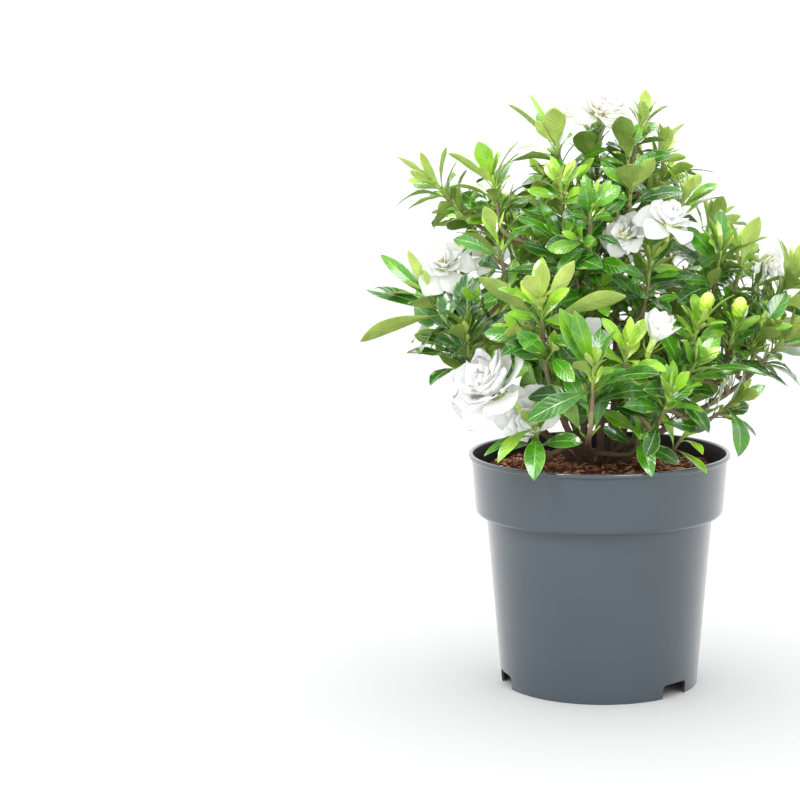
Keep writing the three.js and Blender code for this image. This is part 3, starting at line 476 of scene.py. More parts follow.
# %% Shreds of bark
def shred_template(name, length, width, thickness, bend, steps=3):
    """A bent strip of bark or fibre along X, with four sides and pointed ends."""
    points, faces = [], []
    for i in range(steps + 1):
        t = i / steps
        share = 0.35 + 0.65 * math.sin(math.pi * t)
        middle = Vector((length * (t - 0.5), bend * t * t, bend * math.sin(math.pi * t)))
        for y, z in ((-1, -1), (1, -1), (1, 1), (-1, 1)):
            points.append((middle + Vector((0, y * width * share, z * thickness * share)) / 2) * MM)
    for i in range(steps):
        for k in range(4):
            m = (k + 1) % 4
            faces.append((4 * i + k, 4 * i + m, 4 * i + 4 + m, 4 * i + 4 + k))
    faces += [(3, 2, 1, 0), tuple(4 * steps + k for k in range(4))]
    return bpy.data.objects.new(name, formed(name, points, faces))


def shreds_tree():
    """Scatters shreds on the upward faces of a bed, inside a given radius."""
    tree, add, sizes = new_tree("shreds", {
        "Shred": ("Object", None),
        "Number": ("Float", 1000.0),
        "Reach": ("Float", 0.1),
        "Seed": ("Int", 1),
        "Tilt": ("Float", 0.4),
        "Material": ("Material", None),
    })
    shape = add("GeometryNodeObjectInfo", {"Object": sizes["Shred"]})
    normal = add("ShaderNodeSeparateXYZ", {0: add("GeometryNodeInputNormal")})
    place = add("GeometryNodeInputPosition")
    flat = add("ShaderNodeVectorMath", (place, (1, 1, 0)), operation="MULTIPLY")
    far = add("ShaderNodeVectorMath", {0: flat}, operation="LENGTH").outputs["Value"]
    inside = add("FunctionNodeCompare", (far, sizes["Reach"]), operation="LESS_THAN")
    up = add("FunctionNodeCompare", (normal.outputs["Z"], 0.5), operation="GREATER_THAN")
    points = add("GeometryNodeDistributePointsOnFaces", {
        "Mesh": sizes["Geometry"],
        "Selection": add("FunctionNodeBooleanMath", (inside, up), operation="AND"),
        "Density": sizes["Number"],
        "Seed": sizes["Seed"],
    })
    back = add("ShaderNodeMath", (sizes["Tilt"], -1.0), operation="MULTIPLY")
    low = add("ShaderNodeCombineXYZ", (back, back, 0.0))
    high = add("ShaderNodeCombineXYZ", (sizes["Tilt"], sizes["Tilt"], ROUND))
    turn, stretch = (
        add("FunctionNodeRandomValue", {0: least, 1: most, "Seed": sizes["Seed"]}, data_type="FLOAT_VECTOR")
        for least, most in ((low, high), ((0.4, 0.5, 0.5), (1.3, 1.6, 1.5)))
    )
    shreds = add("GeometryNodeInstanceOnPoints", {
        "Points": points, "Instance": shape.outputs["Geometry"], "Rotation": turn, "Scale": stretch,
    })
    draw = add("FunctionNodeRandomValue", {2: -0.15, 3: 0.55, "Seed": sizes["Seed"]}, data_type="FLOAT")
    shaded = add("GeometryNodeStoreNamedAttribute", {
        "Geometry": shreds, "Name": "shade", "Value": draw.outputs[1],
    }, data_type="FLOAT", domain="INSTANCE")
    real = add("GeometryNodeRealizeInstances", {"Geometry": shaded})
    coloured = add("GeometryNodeSetMaterial", {"Geometry": real, "Material": sizes["Material"]})
    add("NodeGroupOutput", {"Geometry": coloured})
    return tree


def joined(name, parts):
    """One object of several, under a new name."""
    for item in bpy.context.selected_objects:
        item.select_set(False)
    for part in parts:
        part.select_set(True)
    bpy.context.view_layer.objects.active = parts[0]
    bpy.ops.object.join()
    parts[0].name = parts[0].data.name = name
    return parts[0]


ShredKind = namedtuple("ShredKind", "template number reach tilt seed")
SHRED_KINDS = {
    "bark_shred": ShredKind(shred_template("bark_shred", 13, 4.6, 1.5, 1.0), 15000.0, 99, 0.35, 11),
    "coir_fibre": ShredKind(shred_template("coir_fibre", 19, 0.8, 0.6, 3.4, 5), 16000.0, 95, 0.3, 23),
    "bark_crumb": ShredKind(shred_template("bark_crumb", 4.5, 3.4, 2.4, 0.3, 2), 30000.0, 104, 0.9, 37),
}
shred_bark = composted_bark("shredded_bark", "#331b15", "#84492f", "#cda382")
grower = shreds_tree()
shred_parts = []
for name, kind in SHRED_KINDS.items():
    shred_parts.append(grown(placed(name + "_bed", bed.data.copy()), grower, {
        "Shred": kind.template, "Number": kind.number, "Reach": kind.reach * MM, "Seed": kind.seed,
        "Tilt": kind.tilt, "Material": shred_bark,
    }))
shreds = joined("bark_and_coir", shred_parts)
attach(shreds, BODY)
print("The shreds have", len(shreds.data.polygons), "faces")

# %% [markdown]
# ## The plan of the plant
#
# The plant's plan is the same list that the solids were made from: where each main stem leaves the crown
# and which way it heads, where each leafy shoot has its tip and how it leans, which leaf tips are seen
# plainly from the front, and where the blooms are. A place is given as x to the right, y to the back and
# z up. Leaves that aren't listed follow the rule that a shoot grows by: whorls of two or three
# leaves, small and steep near the tip, and larger and flatter lower down.

# %% Stems, shoots, blooms and buds
Stem = namedtuple("Stem", "root toward leader")
STEMS = {
    "front": Stem((-5, -13), (-13, -44, 236), "front_tall"),
    "front_left": Stem((-12, -8), (-30, -64, 250), "front_pale"),
    "left": Stem((-14, 1), (-66, -12, 246), "left_low"),
    "centre_left": Stem((-7, 3), (-30, -6, 300), "top_left"),
    "centre": Stem((1, -3), (4, -10, 300), "top_bloom"),
    "centre_right": Stem((6, 6), (26, 0, 300), "top_right"),
    "right": Stem((13, -1), (62, -18, 270), "right_high"),
    "far_right": Stem((11, -6), (62, -26, 246), "right_edge"),
    "front_right": Stem((4, -11), (28, -50, 244), "front_fork"),
    "back_left": Stem((-8, 12), (-42, 52, 270), "back_shoulder"),
    "back_right": Stem((8, 13), (44, 56, 270), "back_right"),
}

# A shoot has the length of a full leaf and its age, from 0, a fresh yellow-green shoot, to 1, a dark
# one. Each of its seen leaves is its whorl, its tip, its width, the share of its length by which it
# arches, and the way its upper side looks where it is turned from its whorl's. A low shoot by the rim
# is short, and a small one has two leaves in each whorl.
FRONT, BACK = (0, -1, 0.35), (0, 1, 0.35)
Shoot = namedtuple("Shoot", "on tip lean leaf age seen low small", defaults=((), False, False))
SHOOTS = {
    "left_shoulder": Shoot("centre_left", (-147, 10, 446), (-0.95, 0), 44, 0.4, [
        (0, (-176, 5, 466), 11, 0.03), (1, (-155, -5, 470), 9, 0.03),
        (2, (-176, -2, 424), 15, 0.2, (-0.11, 0.34, 0.84)),
    ]),
    "left_upright": Shoot("centre_left", (-92, -20, 452), (-0.15, -0.1), 50, 0.35, [
        (0, (-103, -33, 480), 16, 0.04, FRONT), (1, (-130, -12, 470), 11, 0.08, (0.24, 0.51, 0.51)),
        (1, (-68, -10, 474), 12, 0.1), (2, (-138, -46, 437), 13, 0.16, (0.09, 0.37, 0.76)),
    ]),
    "left_inner": Shoot("centre_left", (-122, 35, 420), (-0.6, 0.4), 42, 0.6, [
        (2, (-133, 4, 408), 16, 0.1, BACK),
    ]),
    "left_front": Shoot("left", (-87, -74, 406), (-0.2, -0.3), 44, 0.45, [
        (0, (-95, -84, 428), 11, 0.02), (2, (-118, -88, 402), 14, 0.1, (0.19, 0.44, 0.73)),
    ]),
    "top_left": Shoot("centre_left", (-40, -8, 484), (-0.3, 0), 54, 0.35, [
        (0, (-60, -3, 519), 9, 0.03), (1, (-78, -15, 511), 13, 0.05),
        (1, (-39, -27, 508), 20, 0.04, BACK), (1, (-53, 7, 503), 14, 0.05),
    ]),
    "top_inner": Shoot("centre_left", (-33, -60, 450), (-0.1, -0.3), 36, 0.35, small=True),
    "glossy": Shoot("centre", (-7, -94, 434), (0.02, -0.5), 42, 0.6, [
        (1, (-12, -122, 444), 18, 0.08, FRONT), (1, (18, -98, 444), 16, 0.1, (-0.24, -0.77, 0.45)),
        (2, (-30, -118, 420), 16, 0.12),
    ]),
    "mid_left": Shoot("centre_left", (-28, -62, 396), (-0.25, -0.5), 54, 0.7, [
        (1, (-71, -74, 418), 15, 0.1), (1, (-50, -62, 430), 10, 0.08),
    ]),
    "top_bloom": Shoot("centre", (-2, -2, 478), (0, -0.1), 42, 0.6, [
        (2, (-20, -34, 484), 21, 0.08, BACK),
    ], small=True),
    "top_right": Shoot("centre_right", (38, 6, 498), (0.25, 0), 40, 0.5, [
        (0, (40, -4, 522), 11, 0.03), (1, (58, 8, 508), 9, 0.08),
    ]),
    "top_shade": Shoot("centre_right", (24, -22, 476), (-0.05, -0.25), 40, 0.7, [
        (1, (18, -42, 498), 19, 0.06, BACK),
    ], small=True),
    "right_peak": Shoot("centre_right", (56, 24, 474), (0.45, 0.2), 40, 0.35, [
        (0, (74, 24, 492), 11, 0.06), (1, (60, 8, 490), 13, 0.05),
    ]),
    "grey_upright": Shoot("centre", (27, -50, 448), (0.05, -0.3), 44, 0.7, [
        (1, (18, -76, 468), 25, 0.05, BACK), (1, (46, -62, 466), 13, 0.06, BACK),
    ]),
    "right_shoulder": Shoot("centre_right", (56, 10, 446), (0.8, 0.1), 50, 0.5, [
        (1, (92, 10, 456), 10, 0.16), (0, (80, -4, 452), 12, 0.12),
    ]),
    "narrow_rosette": Shoot("right", (74, -14, 432), (0.35, -0.1), 46, 0.4, [
        (2, (106, -14, 430), 15, 0.12), (2, (48, -30, 446), 15, 0.1, (0.3, 0.7, 0.43)),
        (1, (80, -22, 448), 8, 0.03),
    ]),
    "under_bloom": Shoot("centre", (44, -60, 382), (0.12, -0.25), 42, 0.65),
    "right_high": Shoot("right", (104, -28, 386), (0.15, -0.3), 56, 0.65, [
        (1, (74, -62, 408), 18, 0.06, FRONT), (0, (93, -42, 414), 12, 0.03),
        (2, (128, -60, 364), 16, 0.12),
    ]),
    "right_bud": Shoot("right", (123, -8, 380), (0.2, 0), 40, 0.3, [
        (1, (136, -24, 414), 16, 0.04), (1, (112, -20, 410), 9, 0.04),
    ]),
    "right_bloom": Shoot("right", (139, 18, 358), (0.5, 0), 44, 0.5, small=True),
    "right_outer": Shoot("far_right", (166, 2, 366), (0.55, 0.05), 52, 0.45, [
        (2, (206, -6, 350), 14, 0.14),
    ]),
    "left_low": Shoot("left", (-146, -32, 352), (-0.55, -0.1), 60, 0.5, [
        (0, (-164, -42, 388), 9, 0.02), (1, (-188, -36, 384), 12, 0.06, FRONT),
        (1, (-168, -74, 352), 14, 0.06), (2, (-201, -26, 352), 15, 0.1, (0, -0.7, 0.6)),
        (2, (-203, -56, 307), 16, 0.12, BACK),
    ]),
    "left_dark": Shoot("left", (-113, -62, 318), (-0.1, -0.35), 60, 0.95, [
        (0, (-112, -60, 366), 25, 0.05, FRONT), (1, (-130, -84, 342), 14, 0.08),
    ]),
    "front_pale": Shoot("front_left", (-48, -120, 352), (-0.05, -0.5), 52, 0.35, [
        (0, (-46, -138, 386), 13, 0.03, BACK), (0, (-58, -148, 374), 15, 0.05, BACK),
        (1, (-20, -128, 386), 13, 0.05, BACK), (2, (-99, -140, 370), 16, 0.06, (0.25, 0.8, 0.45)),
        (2, (22, -140, 358), 15, 0.14, BACK),
    ]),
    "rim_front": Shoot("front_left", (-54, -94, 244), (-0.15, -0.7), 44, 0.5, [
        (1, (-54, -127, 203), 18, 0.2, FRONT), (1, (-96, -112, 221), 9, 0.14),
        (0, (-84, -122, 217), 13, 0.16), (2, (-88, -96, 230), 10, 0.12),
    ], low=True),
    "front_tall": Shoot("front", (-4, -128, 300), (0.05, -0.35), 60, 0.6, [
        (1, (-32, -136, 348), 16, 0.05, FRONT), (0, (-20, -148, 347), 15, 0.04, FRONT),
        (0, (14, -138, 330), 12, 0.04), (2, (45, -154, 293), 23, 0.1, (-0.1, -0.45, 0.85)),
        (2, (-60, -146, 256), 18, 0.16, FRONT), (1, (-20, -158, 306), 11, 0.08, BACK),
    ]),
    "front_rosette": Shoot("front_right", (24, -112, 318), (0.1, -0.4), 38, 0.2),
    "right_bud_low": Shoot("far_right", (85, -78, 332), (0.3, -0.3), 42, 0.45, [
        (1, (60, -108, 358), 10, 0.06), (1, (104, -86, 360), 9, 0.08),
    ]),
    "right_bud_mid": Shoot("right", (115, -55, 325), (0.2, -0.3), 42, 0.55),
    "right_mid": Shoot("far_right", (138, -40, 318), (0.5, -0.25), 50, 0.75, [
        (1, (160, -32, 350), 16, 0.06, FRONT), (2, (152, -72, 296), 18, 0.12),
    ]),
    "rim_right": Shoot("far_right", (118, -42, 258), (1.3, -0.35), 50, 0.7, [
        (1, (118, -66, 213), 21, 0.2, (0.52, -0.65, 0.42)),
    ], low=True),
    "right_level": Shoot("far_right", (82, -90, 298), (0.65, -0.5), 52, 0.5, [
        (2, (138, -108, 288), 15, 0.14), (2, (38, -106, 296), 10, 0.1),
    ]),
    "front_fork": Shoot("front_right", (60, -114, 276), (0.35, -0.7), 44, 0.45, [
        (0, (50, -138, 292), 12, 0.05), (1, (84, -136, 285), 11, 0.08), (2, (84, -134, 262), 10, 0.12),
    ]),
    "rim_rosette": Shoot("front_right", (74, -84, 238), (0.6, -0.8), 36, 0.1, [
        (1, (86, -106, 222), 11, 0.12),
    ], low=True, small=True),
    "over_soil": Shoot("front", (36, -86, 238), (0.25, -1.1), 40, 0.7, [
        (1, (52, -108, 210), 15, 0.2, FRONT), (0, (34, -113, 236), 20, 0.14, FRONT),
    ], low=True, small=True),
    "right_edge": Shoot("far_right", (166, -14, 314), (0.9, -0.05), 52, 0.6, [
        (2, (200, -44, 296), 15, 0.14),
    ]),
    "back_shoulder": Shoot("back_left", (-72, 98, 410), (-0.35, 0.6), 52, 0.4),
    "back_peak": Shoot("back_right", (24, 92, 448), (0.05, 0.5), 52, 0.3),
    "back_right": Shoot("back_right", (100, 88, 400), (0.5, 0.5), 52, 0.5),
    "back_left_low": Shoot("back_left", (-134, 80, 348), (-0.8, 0.5), 56, 0.6),
    "back_middle": Shoot("back_left", (-18, 130, 346), (-0.05, 0.9), 56, 0.5),
    "back_low_right": Shoot("back_right", (76, 126, 318), (0.4, 0.9), 56, 0.7),
    "back_outer_right": Shoot("back_right", (148, 84, 318), (0.9, 0.5), 54, 0.5),
    "back_low_left": Shoot("back_left", (-86, 116, 288), (-0.6, 0.9), 54, 0.7),
}

# A ring of petals is its number, its share of the bloom's radius, its lift in degrees and the width of a
# petal for its length. Fade runs from 0, just open, to 1, ochre at the edges.
FULL = [(6, 1, 26, 0.78), (6, 0.94, 48, 0.66), (3, 0.72, 68, 0.6)]
DOUBLE = [(6, 1, 6, 0.84), (6, 0.7, 42, 0.74)]
LOOSE = [(6, 1, 14, 0.82)]
HALF_OPEN = [(6, 1, 60, 0.56)]
Bloom = namedtuple("Bloom", "on below centre face radius rings fade")
BLOOMS = {
    "bloom_front": Bloom("rim_front", 20, (-85, -106, 274), (-0.66, -0.5, 0.56), 43, FULL, 0.0),
    "bloom_behind": Bloom("rim_front", 25, (-62, -82, 251), (0.1, -0.85, 0), 29, LOOSE, 0.0),
    "bloom_top": Bloom("top_bloom", 0, (-1, -8, 503), (0.05, -0.35, 0.93), 29, DOUBLE, 0.8),
    "bloom_right": Bloom("under_bloom", 6, (58, -66, 412), (0.1, -0.4, 0.9), 31, DOUBLE, 0.05),
    "bloom_inner": Bloom("under_bloom", 24, (22, -52, 400), (-0.35, -0.6, 0.5), 24, LOOSE, 0.1),
    "bloom_left": Bloom("left_low", 34, (-134, -30, 372), (-0.15, -0.75, 0.6), 30, DOUBLE, 0.1),
    "bloom_middle": Bloom("front_rosette", 30, (-12, -84, 314), (-0.1, -0.9, 0.3), 24, LOOSE, 0.2),
    "bloom_opening": Bloom("right_level", 34, (47, -110, 323), (0.35, -0.35, 0.85), 24, HALF_OPEN, 0.0),
    "bloom_side": Bloom("right_bloom", 0, (144, -4, 374), (0.7, -0.45, -0.15), 20, LOOSE, 0.15),
    "bloom_back": Bloom("back_right", 20, (58, 124, 384), (0.1, 0.8, 0.55), 34, DOUBLE, 0.1),
    "bloom_back_left": Bloom("back_left_low", 24, (-104, 104, 372), (-0.4, 0.75, 0.55), 30, LOOSE, 0.2),
}
BUDS = {"bud_high": "right_bud", "bud_low": "right_bud_low", "bud_mid": "right_bud_mid"}

# %% Directions and a repeatable scatter
GREEN_LENGTH, LOW_GREEN_LENGTH = 43, 29  # the soft green end of a twig, and of one by the rim
SHOOT_START, NODE_START, FLOWER_START = (1, 0, 0), (0.3, 0.2, 0.93), (0.91, 0.13, 0.39)  # where turns begin


def chance(a, b):
    """A value from 0 to 1 for two keys, the same on every run."""
    value = math.sin(a * 12.9898 + b * 78.233) * 43758.5453
    return value - math.floor(value)


def across(v, axis):
    """The part of a direction that is square to an axis."""
    return (v - axis * v.dot(axis)).normalized()


def framed(axis, reference):
    """A function that gives the direction square to an axis at a turn from the reference."""
    side = across(Vector(reference), axis)
    other = axis.cross(side)
    return lambda turn: side * math.cos(turn) + other * math.sin(turn)


def slanted(axis, out, slope):
    """The direction at a slope from an axis towards a side."""
    return axis * math.cos(slope) + out * math.sin(slope)


def direction_of(shoot):
    """The way a shoot points."""
    return Vector((*shoot.lean, 1)).normalized()


def below(shoot, distance):
    """The place on a shoot's line at a distance below its tip."""
    return Vector(shoot.tip) - direction_of(shoot) * distance


def green_of(shoot):
    """How long a shoot's green end is."""
    return LOW_GREEN_LENGTH if shoot.low else GREEN_LENGTH


def on_curve(controls, t):
    """The point of a cubic curve at a share of its run, and its direction there."""
    a, b, c, d = controls
    point = a * (1 - t) ** 3 + b * 3 * t * (1 - t) ** 2 + c * 3 * t * t * (1 - t) + d * t**3
    tangent = (b - a) * (1 - t) ** 2 + (c - b) * 2 * t * (1 - t) + (d - c) * t * t
    return point, tangent.normalized()


def bezier(controls, steps):
    """Points along a cubic curve, and the directions there."""
    return zip(*(on_curve(controls, k / steps) for k in range(steps + 1)))


print("The plan has", len(SHOOTS), "shoots and", len(BLOOMS), "blooms")

# %% [markdown]
# ## The woody stems
#
# Stems are tubes along a path that get thinner as they rise. Modelling each would be slow, so one tree of
# geometry nodes draws them all: it gets a mesh of bare lines, turns each into a curve, and sweeps a circle
# along it, scaled by a girth that is kept on every point. Noise then roughens the skin. Rings stand a
# little proud where leaves were shed, as on every old gardenia twig.

# %% The tree that draws tubes
def tubes_tree():
    """Sweeps a circle along lines whose points keep their girth, and roughens the skin."""
    tree, add, sizes = new_tree("tubes", {
        "Sides": ("Int", 12),
        "Roughness height": ("Float", 0.0002),
        "Roughness size": ("Float", 0.004),
        "Material": ("Material", None),
    })
    curve = add("GeometryNodeMeshToCurve", {0: sizes["Geometry"]})
    girth = add("GeometryNodeInputNamedAttribute", {"Name": "girth"}, data_type="FLOAT")
    place = add("GeometryNodeInputPosition")
    marked = add("GeometryNodeStoreNamedAttribute", {
        "Geometry": add("GeometryNodeCurvePrimitiveCircle", {"Resolution": sizes["Sides"]}),
        "Name": "round",
        "Value": place,
    }, data_type="FLOAT_VECTOR", domain="POINT")
    swept = add("GeometryNodeCurveToMesh", {
        "Curve": curve, "Profile Curve": marked, "Scale": girth, "Fill Caps": True,
    })
    finer = add("ShaderNodeMath", (1.0, sizes["Roughness size"]), operation="DIVIDE")
    rough = add("ShaderNodeTexNoise", {"Vector": place, "Scale": finer, "Detail": 3.0})
    centred = add("ShaderNodeMath", (rough, 0.5), operation="SUBTRACT")
    height = add("ShaderNodeMath", (centred, sizes["Roughness height"]), operation="MULTIPLY")
    normal = add("GeometryNodeInputNormal")
    push = add("ShaderNodeVectorMath", {0: normal, "Scale": height}, operation="SCALE")
    pushed = add("GeometryNodeSetPosition", {"Geometry": swept, "Offset": push})
    smooth = add("GeometryNodeSetShadeSmooth", {"Geometry": pushed})
    real = add("GeometryNodeRealizeInstances", {"Geometry": smooth})
    coloured = add("GeometryNodeSetMaterial", {"Geometry": real, "Material": sizes["Material"]})
    add("NodeGroupOutput", {"Geometry": coloured})
    return tree


Line = namedtuple("Line", "points girths youth")
TUBES = tubes_tree()


def tubes(name, lines, material, sides=12, rough=0.2, rough_size=4.0):
    """A mesh object of tubes along lines, each with a girth and a youth for every point."""
    points, edges, values = [], [], {"girth": [], "youth": [], "reach": []}
    for line in lines:
        first = len(points)
        travelled = 0.0
        for k, point in enumerate(line.points):
            travelled += (point - line.points[k - 1]).length if k else 0.0
            points.append(point * MM)
            values["reach"].append(travelled)
            if k:
                edges.append((first + k - 1, first + k))
        values["girth"] += [g * MM for g in line.girths]
        values["youth"] += line.youth
    return grown(placed(name, formed(name, points, edges=edges, **values)), TUBES, {
        "Sides": sides, "Roughness height": rough * MM, "Roughness size": rough_size * MM,
        "Material": material,
    })


# %% [markdown]
# Gardenia bark is thin, grey-brown and finely furrowed along the stem, and turns greenish where the wood
# is young. The furrows must follow each stem, so the pattern reads two attributes: the place round the
# tube and the distance along it. It is squeezed round and stretched along, in strips about 1 mm wide.

# %% Bark
def bark(name, old, young, strength):
    """Thin furrowed bark: grey-brown on old wood and olive on young twigs, darkened low down by painted
    shade.
    """
    material, add, shader = new_material(name, {"Roughness": 0.78, "Specular IOR Level": 0.3})
    round_place = add("ShaderNodeAttribute", attribute_name="round").outputs["Vector"]
    reach = add("ShaderNodeAttribute", attribute_name="reach").outputs["Fac"]
    youth = add("ShaderNodeAttribute", attribute_name="youth").outputs["Fac"]
    squeezed = add("ShaderNodeVectorMath", {0: round_place, "Scale": 3.0}, operation="SCALE")
    slow = add("ShaderNodeMath", (reach, 0.16), operation="MULTIPLY")
    lift = add("ShaderNodeCombineXYZ", {"Z": slow})
    strip = add("ShaderNodeVectorMath", (squeezed, lift), operation="ADD")
    furrows = add("ShaderNodeTexNoise", {"Vector": strip, "Scale": 1.6, "Detail": 5})
    colour = add("ShaderNodeMix", {0: youth, 6: linear(old), 7: linear(young)}, data_type="RGBA")
    dark = add("ShaderNodeMapRange", (furrows, 0.3, 0.65, 0.7, 1.15))
    place = add("ShaderNodeSeparateXYZ", {0: add("ShaderNodeTexCoord").outputs["Object"]})
    # Painted shade: the bark is darkened towards the crown, where the foliage shades the stems.
    painted_shade_low = add("ShaderNodeMapRange", (place.outputs["Z"], 195 * MM, 250 * MM, 0.4, 1.0))
    both = add("ShaderNodeMath", (dark, painted_shade_low), operation="MULTIPLY")
    shaded = add("ShaderNodeVectorMath", {0: colour.outputs[2], "Scale": both}, operation="SCALE")
    bump = add("ShaderNodeBump", {"Strength": strength, "Distance": 0.5 * MM, "Height": furrows})
    fill(shader, {"Base Color": shaded, "Normal": bump})
    return material


GARDENIA_BARK = bark("gardenia_bark", "#93796a", "#9a9168", 0.9)

# %% Woody stems
CROWN_EDGE = 193  # height at which the stems leave the crown
CROWN_LUMPS = 0.05
ROOT_GIRTH, TWIG_GIRTH, WOOD_GIRTH = 3.8, 2.5, 1.9  # radii
SCAR_SPACING, SCAR_HEIGHT, SCAR_WIDTH = 13.0, 0.16, 1.3  # rings of old leaf scars
STRAIGHT_SHARE = 0.36  # of a stem's length, over which its ends keep their direction
TWIG_FIRST, TWIG_LAST, TWIG_STEP = 0.16, 0.92, 0.04  # where a twig may leave its stem, as shares of it
TWIG_RISE, LENGTH_COST = 0.55, 0.25  # how far a twig rises for its level reach, and how it is kept short


def path_to(start, first, shoot):
    """The control points of a stem's curve that arrives in line with a shoot."""
    end = below(shoot, green_of(shoot))
    reach = STRAIGHT_SHARE * (end - start).length
    return [start, first, end - direction_of(shoot) * reach, end]


def stem_path(stem):
    """The control points of a main stem, from the crown to its leader."""
    start = Vector((*stem.root, CROWN_EDGE - 4))
    return path_to(start, Vector(stem.toward), SHOOTS[stem.leader])


def twig_path(shoot, stem):
    """The control points of a twig, which leaves its stem where it can rise at a natural slope."""
    end = below(shoot, green_of(shoot))
    best = None
    place = TWIG_FIRST
    while place < TWIG_LAST:
        start, along = on_curve(stem, place)
        level = math.hypot(end.x - start.x, end.y - start.y)
        cost = abs(start.z + TWIG_RISE * level - end.z) + LENGTH_COST * (end - start).length
        if best is None or cost < best[0]:
            best = (cost, start, along)
        place += TWIG_STEP
    _, start, along = best
    toward = ((end - start).normalized() + along).normalized()
    return path_to(start, start + toward * STRAIGHT_SHARE * (end - start).length, shoot)


def wood_line(path, thick, thin, youth):
    """The line of a stem or twig, with a ring at every old leaf scar."""
    length = (path[3] - path[0]).length
    points, _ = bezier(path, max(12, round(length / 2)))
    girths, ages = [], []
    for k in range(len(points)):
        t = k / (len(points) - 1)
        from_scar = (length * (1 - t) + SCAR_SPACING / 2) % SCAR_SPACING - SCAR_SPACING / 2
        ring = SCAR_HEIGHT * math.exp(-((from_scar / SCAR_WIDTH) ** 2))
        girths.append((thin + (thick - thin) * (1 - t) ** 1.8) * (1 + ring))
        ages.append(youth + (1 - youth) * t * t)
    return Line(points, girths, ages)


wood_lines = []
twig_paths = {}
for stem_name, stem in STEMS.items():
    main = stem_path(stem)
    wood_lines.append(wood_line(main, ROOT_GIRTH, WOOD_GIRTH, 0.0))
    twig_paths[stem.leader] = main
    for name, shoot in SHOOTS.items():
        if shoot.on == stem_name and name != stem.leader:
            twig_paths[name] = twig_path(shoot, main)
            wood_lines.append(wood_line(twig_paths[name], TWIG_GIRTH, WOOD_GIRTH, 0.35))
branches = tubes("branches", wood_lines, GARDENIA_BARK, 12, 0.45, 5.0)

crown = turned("crown", rounded([
    (0, 168, 0), (16, 168, 2), (24, 180.4, 3), (24, 188, 4), (18, 192, 4), (0, CROWN_EDGE, 0),
], 4), 40)
for vertex in crown.data.vertices:
    swell = 1 - CROWN_LUMPS + CROWN_LUMPS * noise.fractal(vertex.co * 90, 1.0, 2.0, 3)
    vertex.co.x *= swell
    vertex.co.y *= swell
crown.data.materials.append(GARDENIA_BARK)
wood = joined("woody_branches", [branches, crown])
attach(wood, BODY)
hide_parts("woody_stems")
print("The wood has", len(wood.data.polygons), "faces on", len(wood_lines), "stems and twigs")

# %% [markdown]
# ## Leaves and petals
#
# A leaf and a petal are the same thing to a modeller: a thin blade that starts at a root, runs to a tip,
# and has a width that swells and shrinks on the way. So one tree of geometry nodes makes both. It gets a
# point for every blade, which keeps the blade's run, its upper side and its sizes, and puts a flat
# two-skinned template there. Each vertex of the template knows its place along and across the blade, and
# the tree moves it to where that place is on the real one: arched, folded along the midrib or cupped,
# waved at the edge, and never quite alike.

# %% Template of a blade
def blade_template(name, stations, columns, outline, underside=None):
    """A blade of two skins that share their rim, whose vertices keep their places along and across."""
    ring = [(s, 0.0) for s in columns] + [(s, 1.0) for s in reversed((underside or columns)[1:-1])]
    places = [(t, s, outline(t), lower) for t in stations for s, lower in ring]
    along, aside, wide, skin = zip(*places)
    points = [(t, s, -0.01 * lower) for t, s, _, lower in places]
    size, end = len(ring), (len(stations) - 1) * len(ring)
    faces, under = [], []
    for i in range(0, end, size):
        for k in range(size):
            m = (k + 1) % size
            faces.append((i + k, i + size + k, i + size + m, i + m))
            under.append(float(k >= len(columns) - 1))
    faces += [tuple(range(size)), tuple(reversed(range(end, end + size)))]
    under += [1.0, 1.0]
    mesh = formed(name, points, faces, along=along, aside=aside, wide=wide, skin=skin)
    mesh.shade_smooth()
    mesh.attributes.new("under", "FLOAT", "FACE").data.foreach_set("value", under)
    rim = [all(abs(aside[v]) == 1.0 for v in edge.vertices) for edge in mesh.edges]
    mesh.attributes.new("sharp_edge", "BOOLEAN", "EDGE").data.foreach_set("value", rim)
    return bpy.data.objects.new(name, mesh)


def leaf_outline(t):
    """A short stalk, then a long wedge that is widest past its middle and ends in a blunt point."""
    blade = min(max(t - 0.06, 0.0) / 0.94, 0.9995)
    least = 0.11 if t < 0.5 else 0.012
    return max(least, math.sin(math.pi * blade**1.45) ** 0.8)


def petal_outline(t):
    """A narrow claw that opens into a broad, round-ended blade."""
    claw = 0.2 + 0.8 * math.sin(0.5 * math.pi * min(t / 0.64, 1.0)) ** 1.3
    return claw * math.sqrt(1 - 0.84 * (max(t - 0.64, 0.0) / 0.36) ** 2)


FINE_LEAF = blade_template(
    "fine_leaf", [0, 0.06, 0.12, 0.19, 0.28, 0.38, 0.48, 0.58, 0.68, 0.78, 0.86, 0.93, 0.975, 1],
    [-1, -0.8, -0.45, -0.1, 0, 0.1, 0.45, 0.8, 1], leaf_outline,
)
LEAF = blade_template(
    "leaf", [0, 0.09, 0.24, 0.44, 0.64, 0.82, 0.94, 1], [-1, -0.5, 0, 0.5, 1], leaf_outline
)
LEAFLET = blade_template(
    "leaflet", [0, 0.14, 0.35, 0.6, 0.85, 1], [-1, -0.3, 0, 0.3, 1], leaf_outline, [-1, 0, 1]
)
PETAL = blade_template(
    "petal", [0, 0.13, 0.28, 0.43, 0.58, 0.7, 0.8, 0.88, 0.94, 0.98, 1],
    [-1, -0.92, -0.64, -0.32, 0, 0.32, 0.64, 0.92, 1], petal_outline,
)
INNER_PETAL = blade_template(
    "inner_petal", [0, 0.2, 0.42, 0.64, 0.8, 0.9, 0.97, 1], [-1, -0.8, -0.4, 0, 0.4, 0.8, 1], petal_outline
)

# %% The tree that shapes blades
BLADE_KEEPS = {
    "FLOAT": ["along", "aside", "wide", "skin", "phase", "turn", "width", "arch"],
    "FLOAT_VECTOR": ["run", "side", "lift", "root"],
}
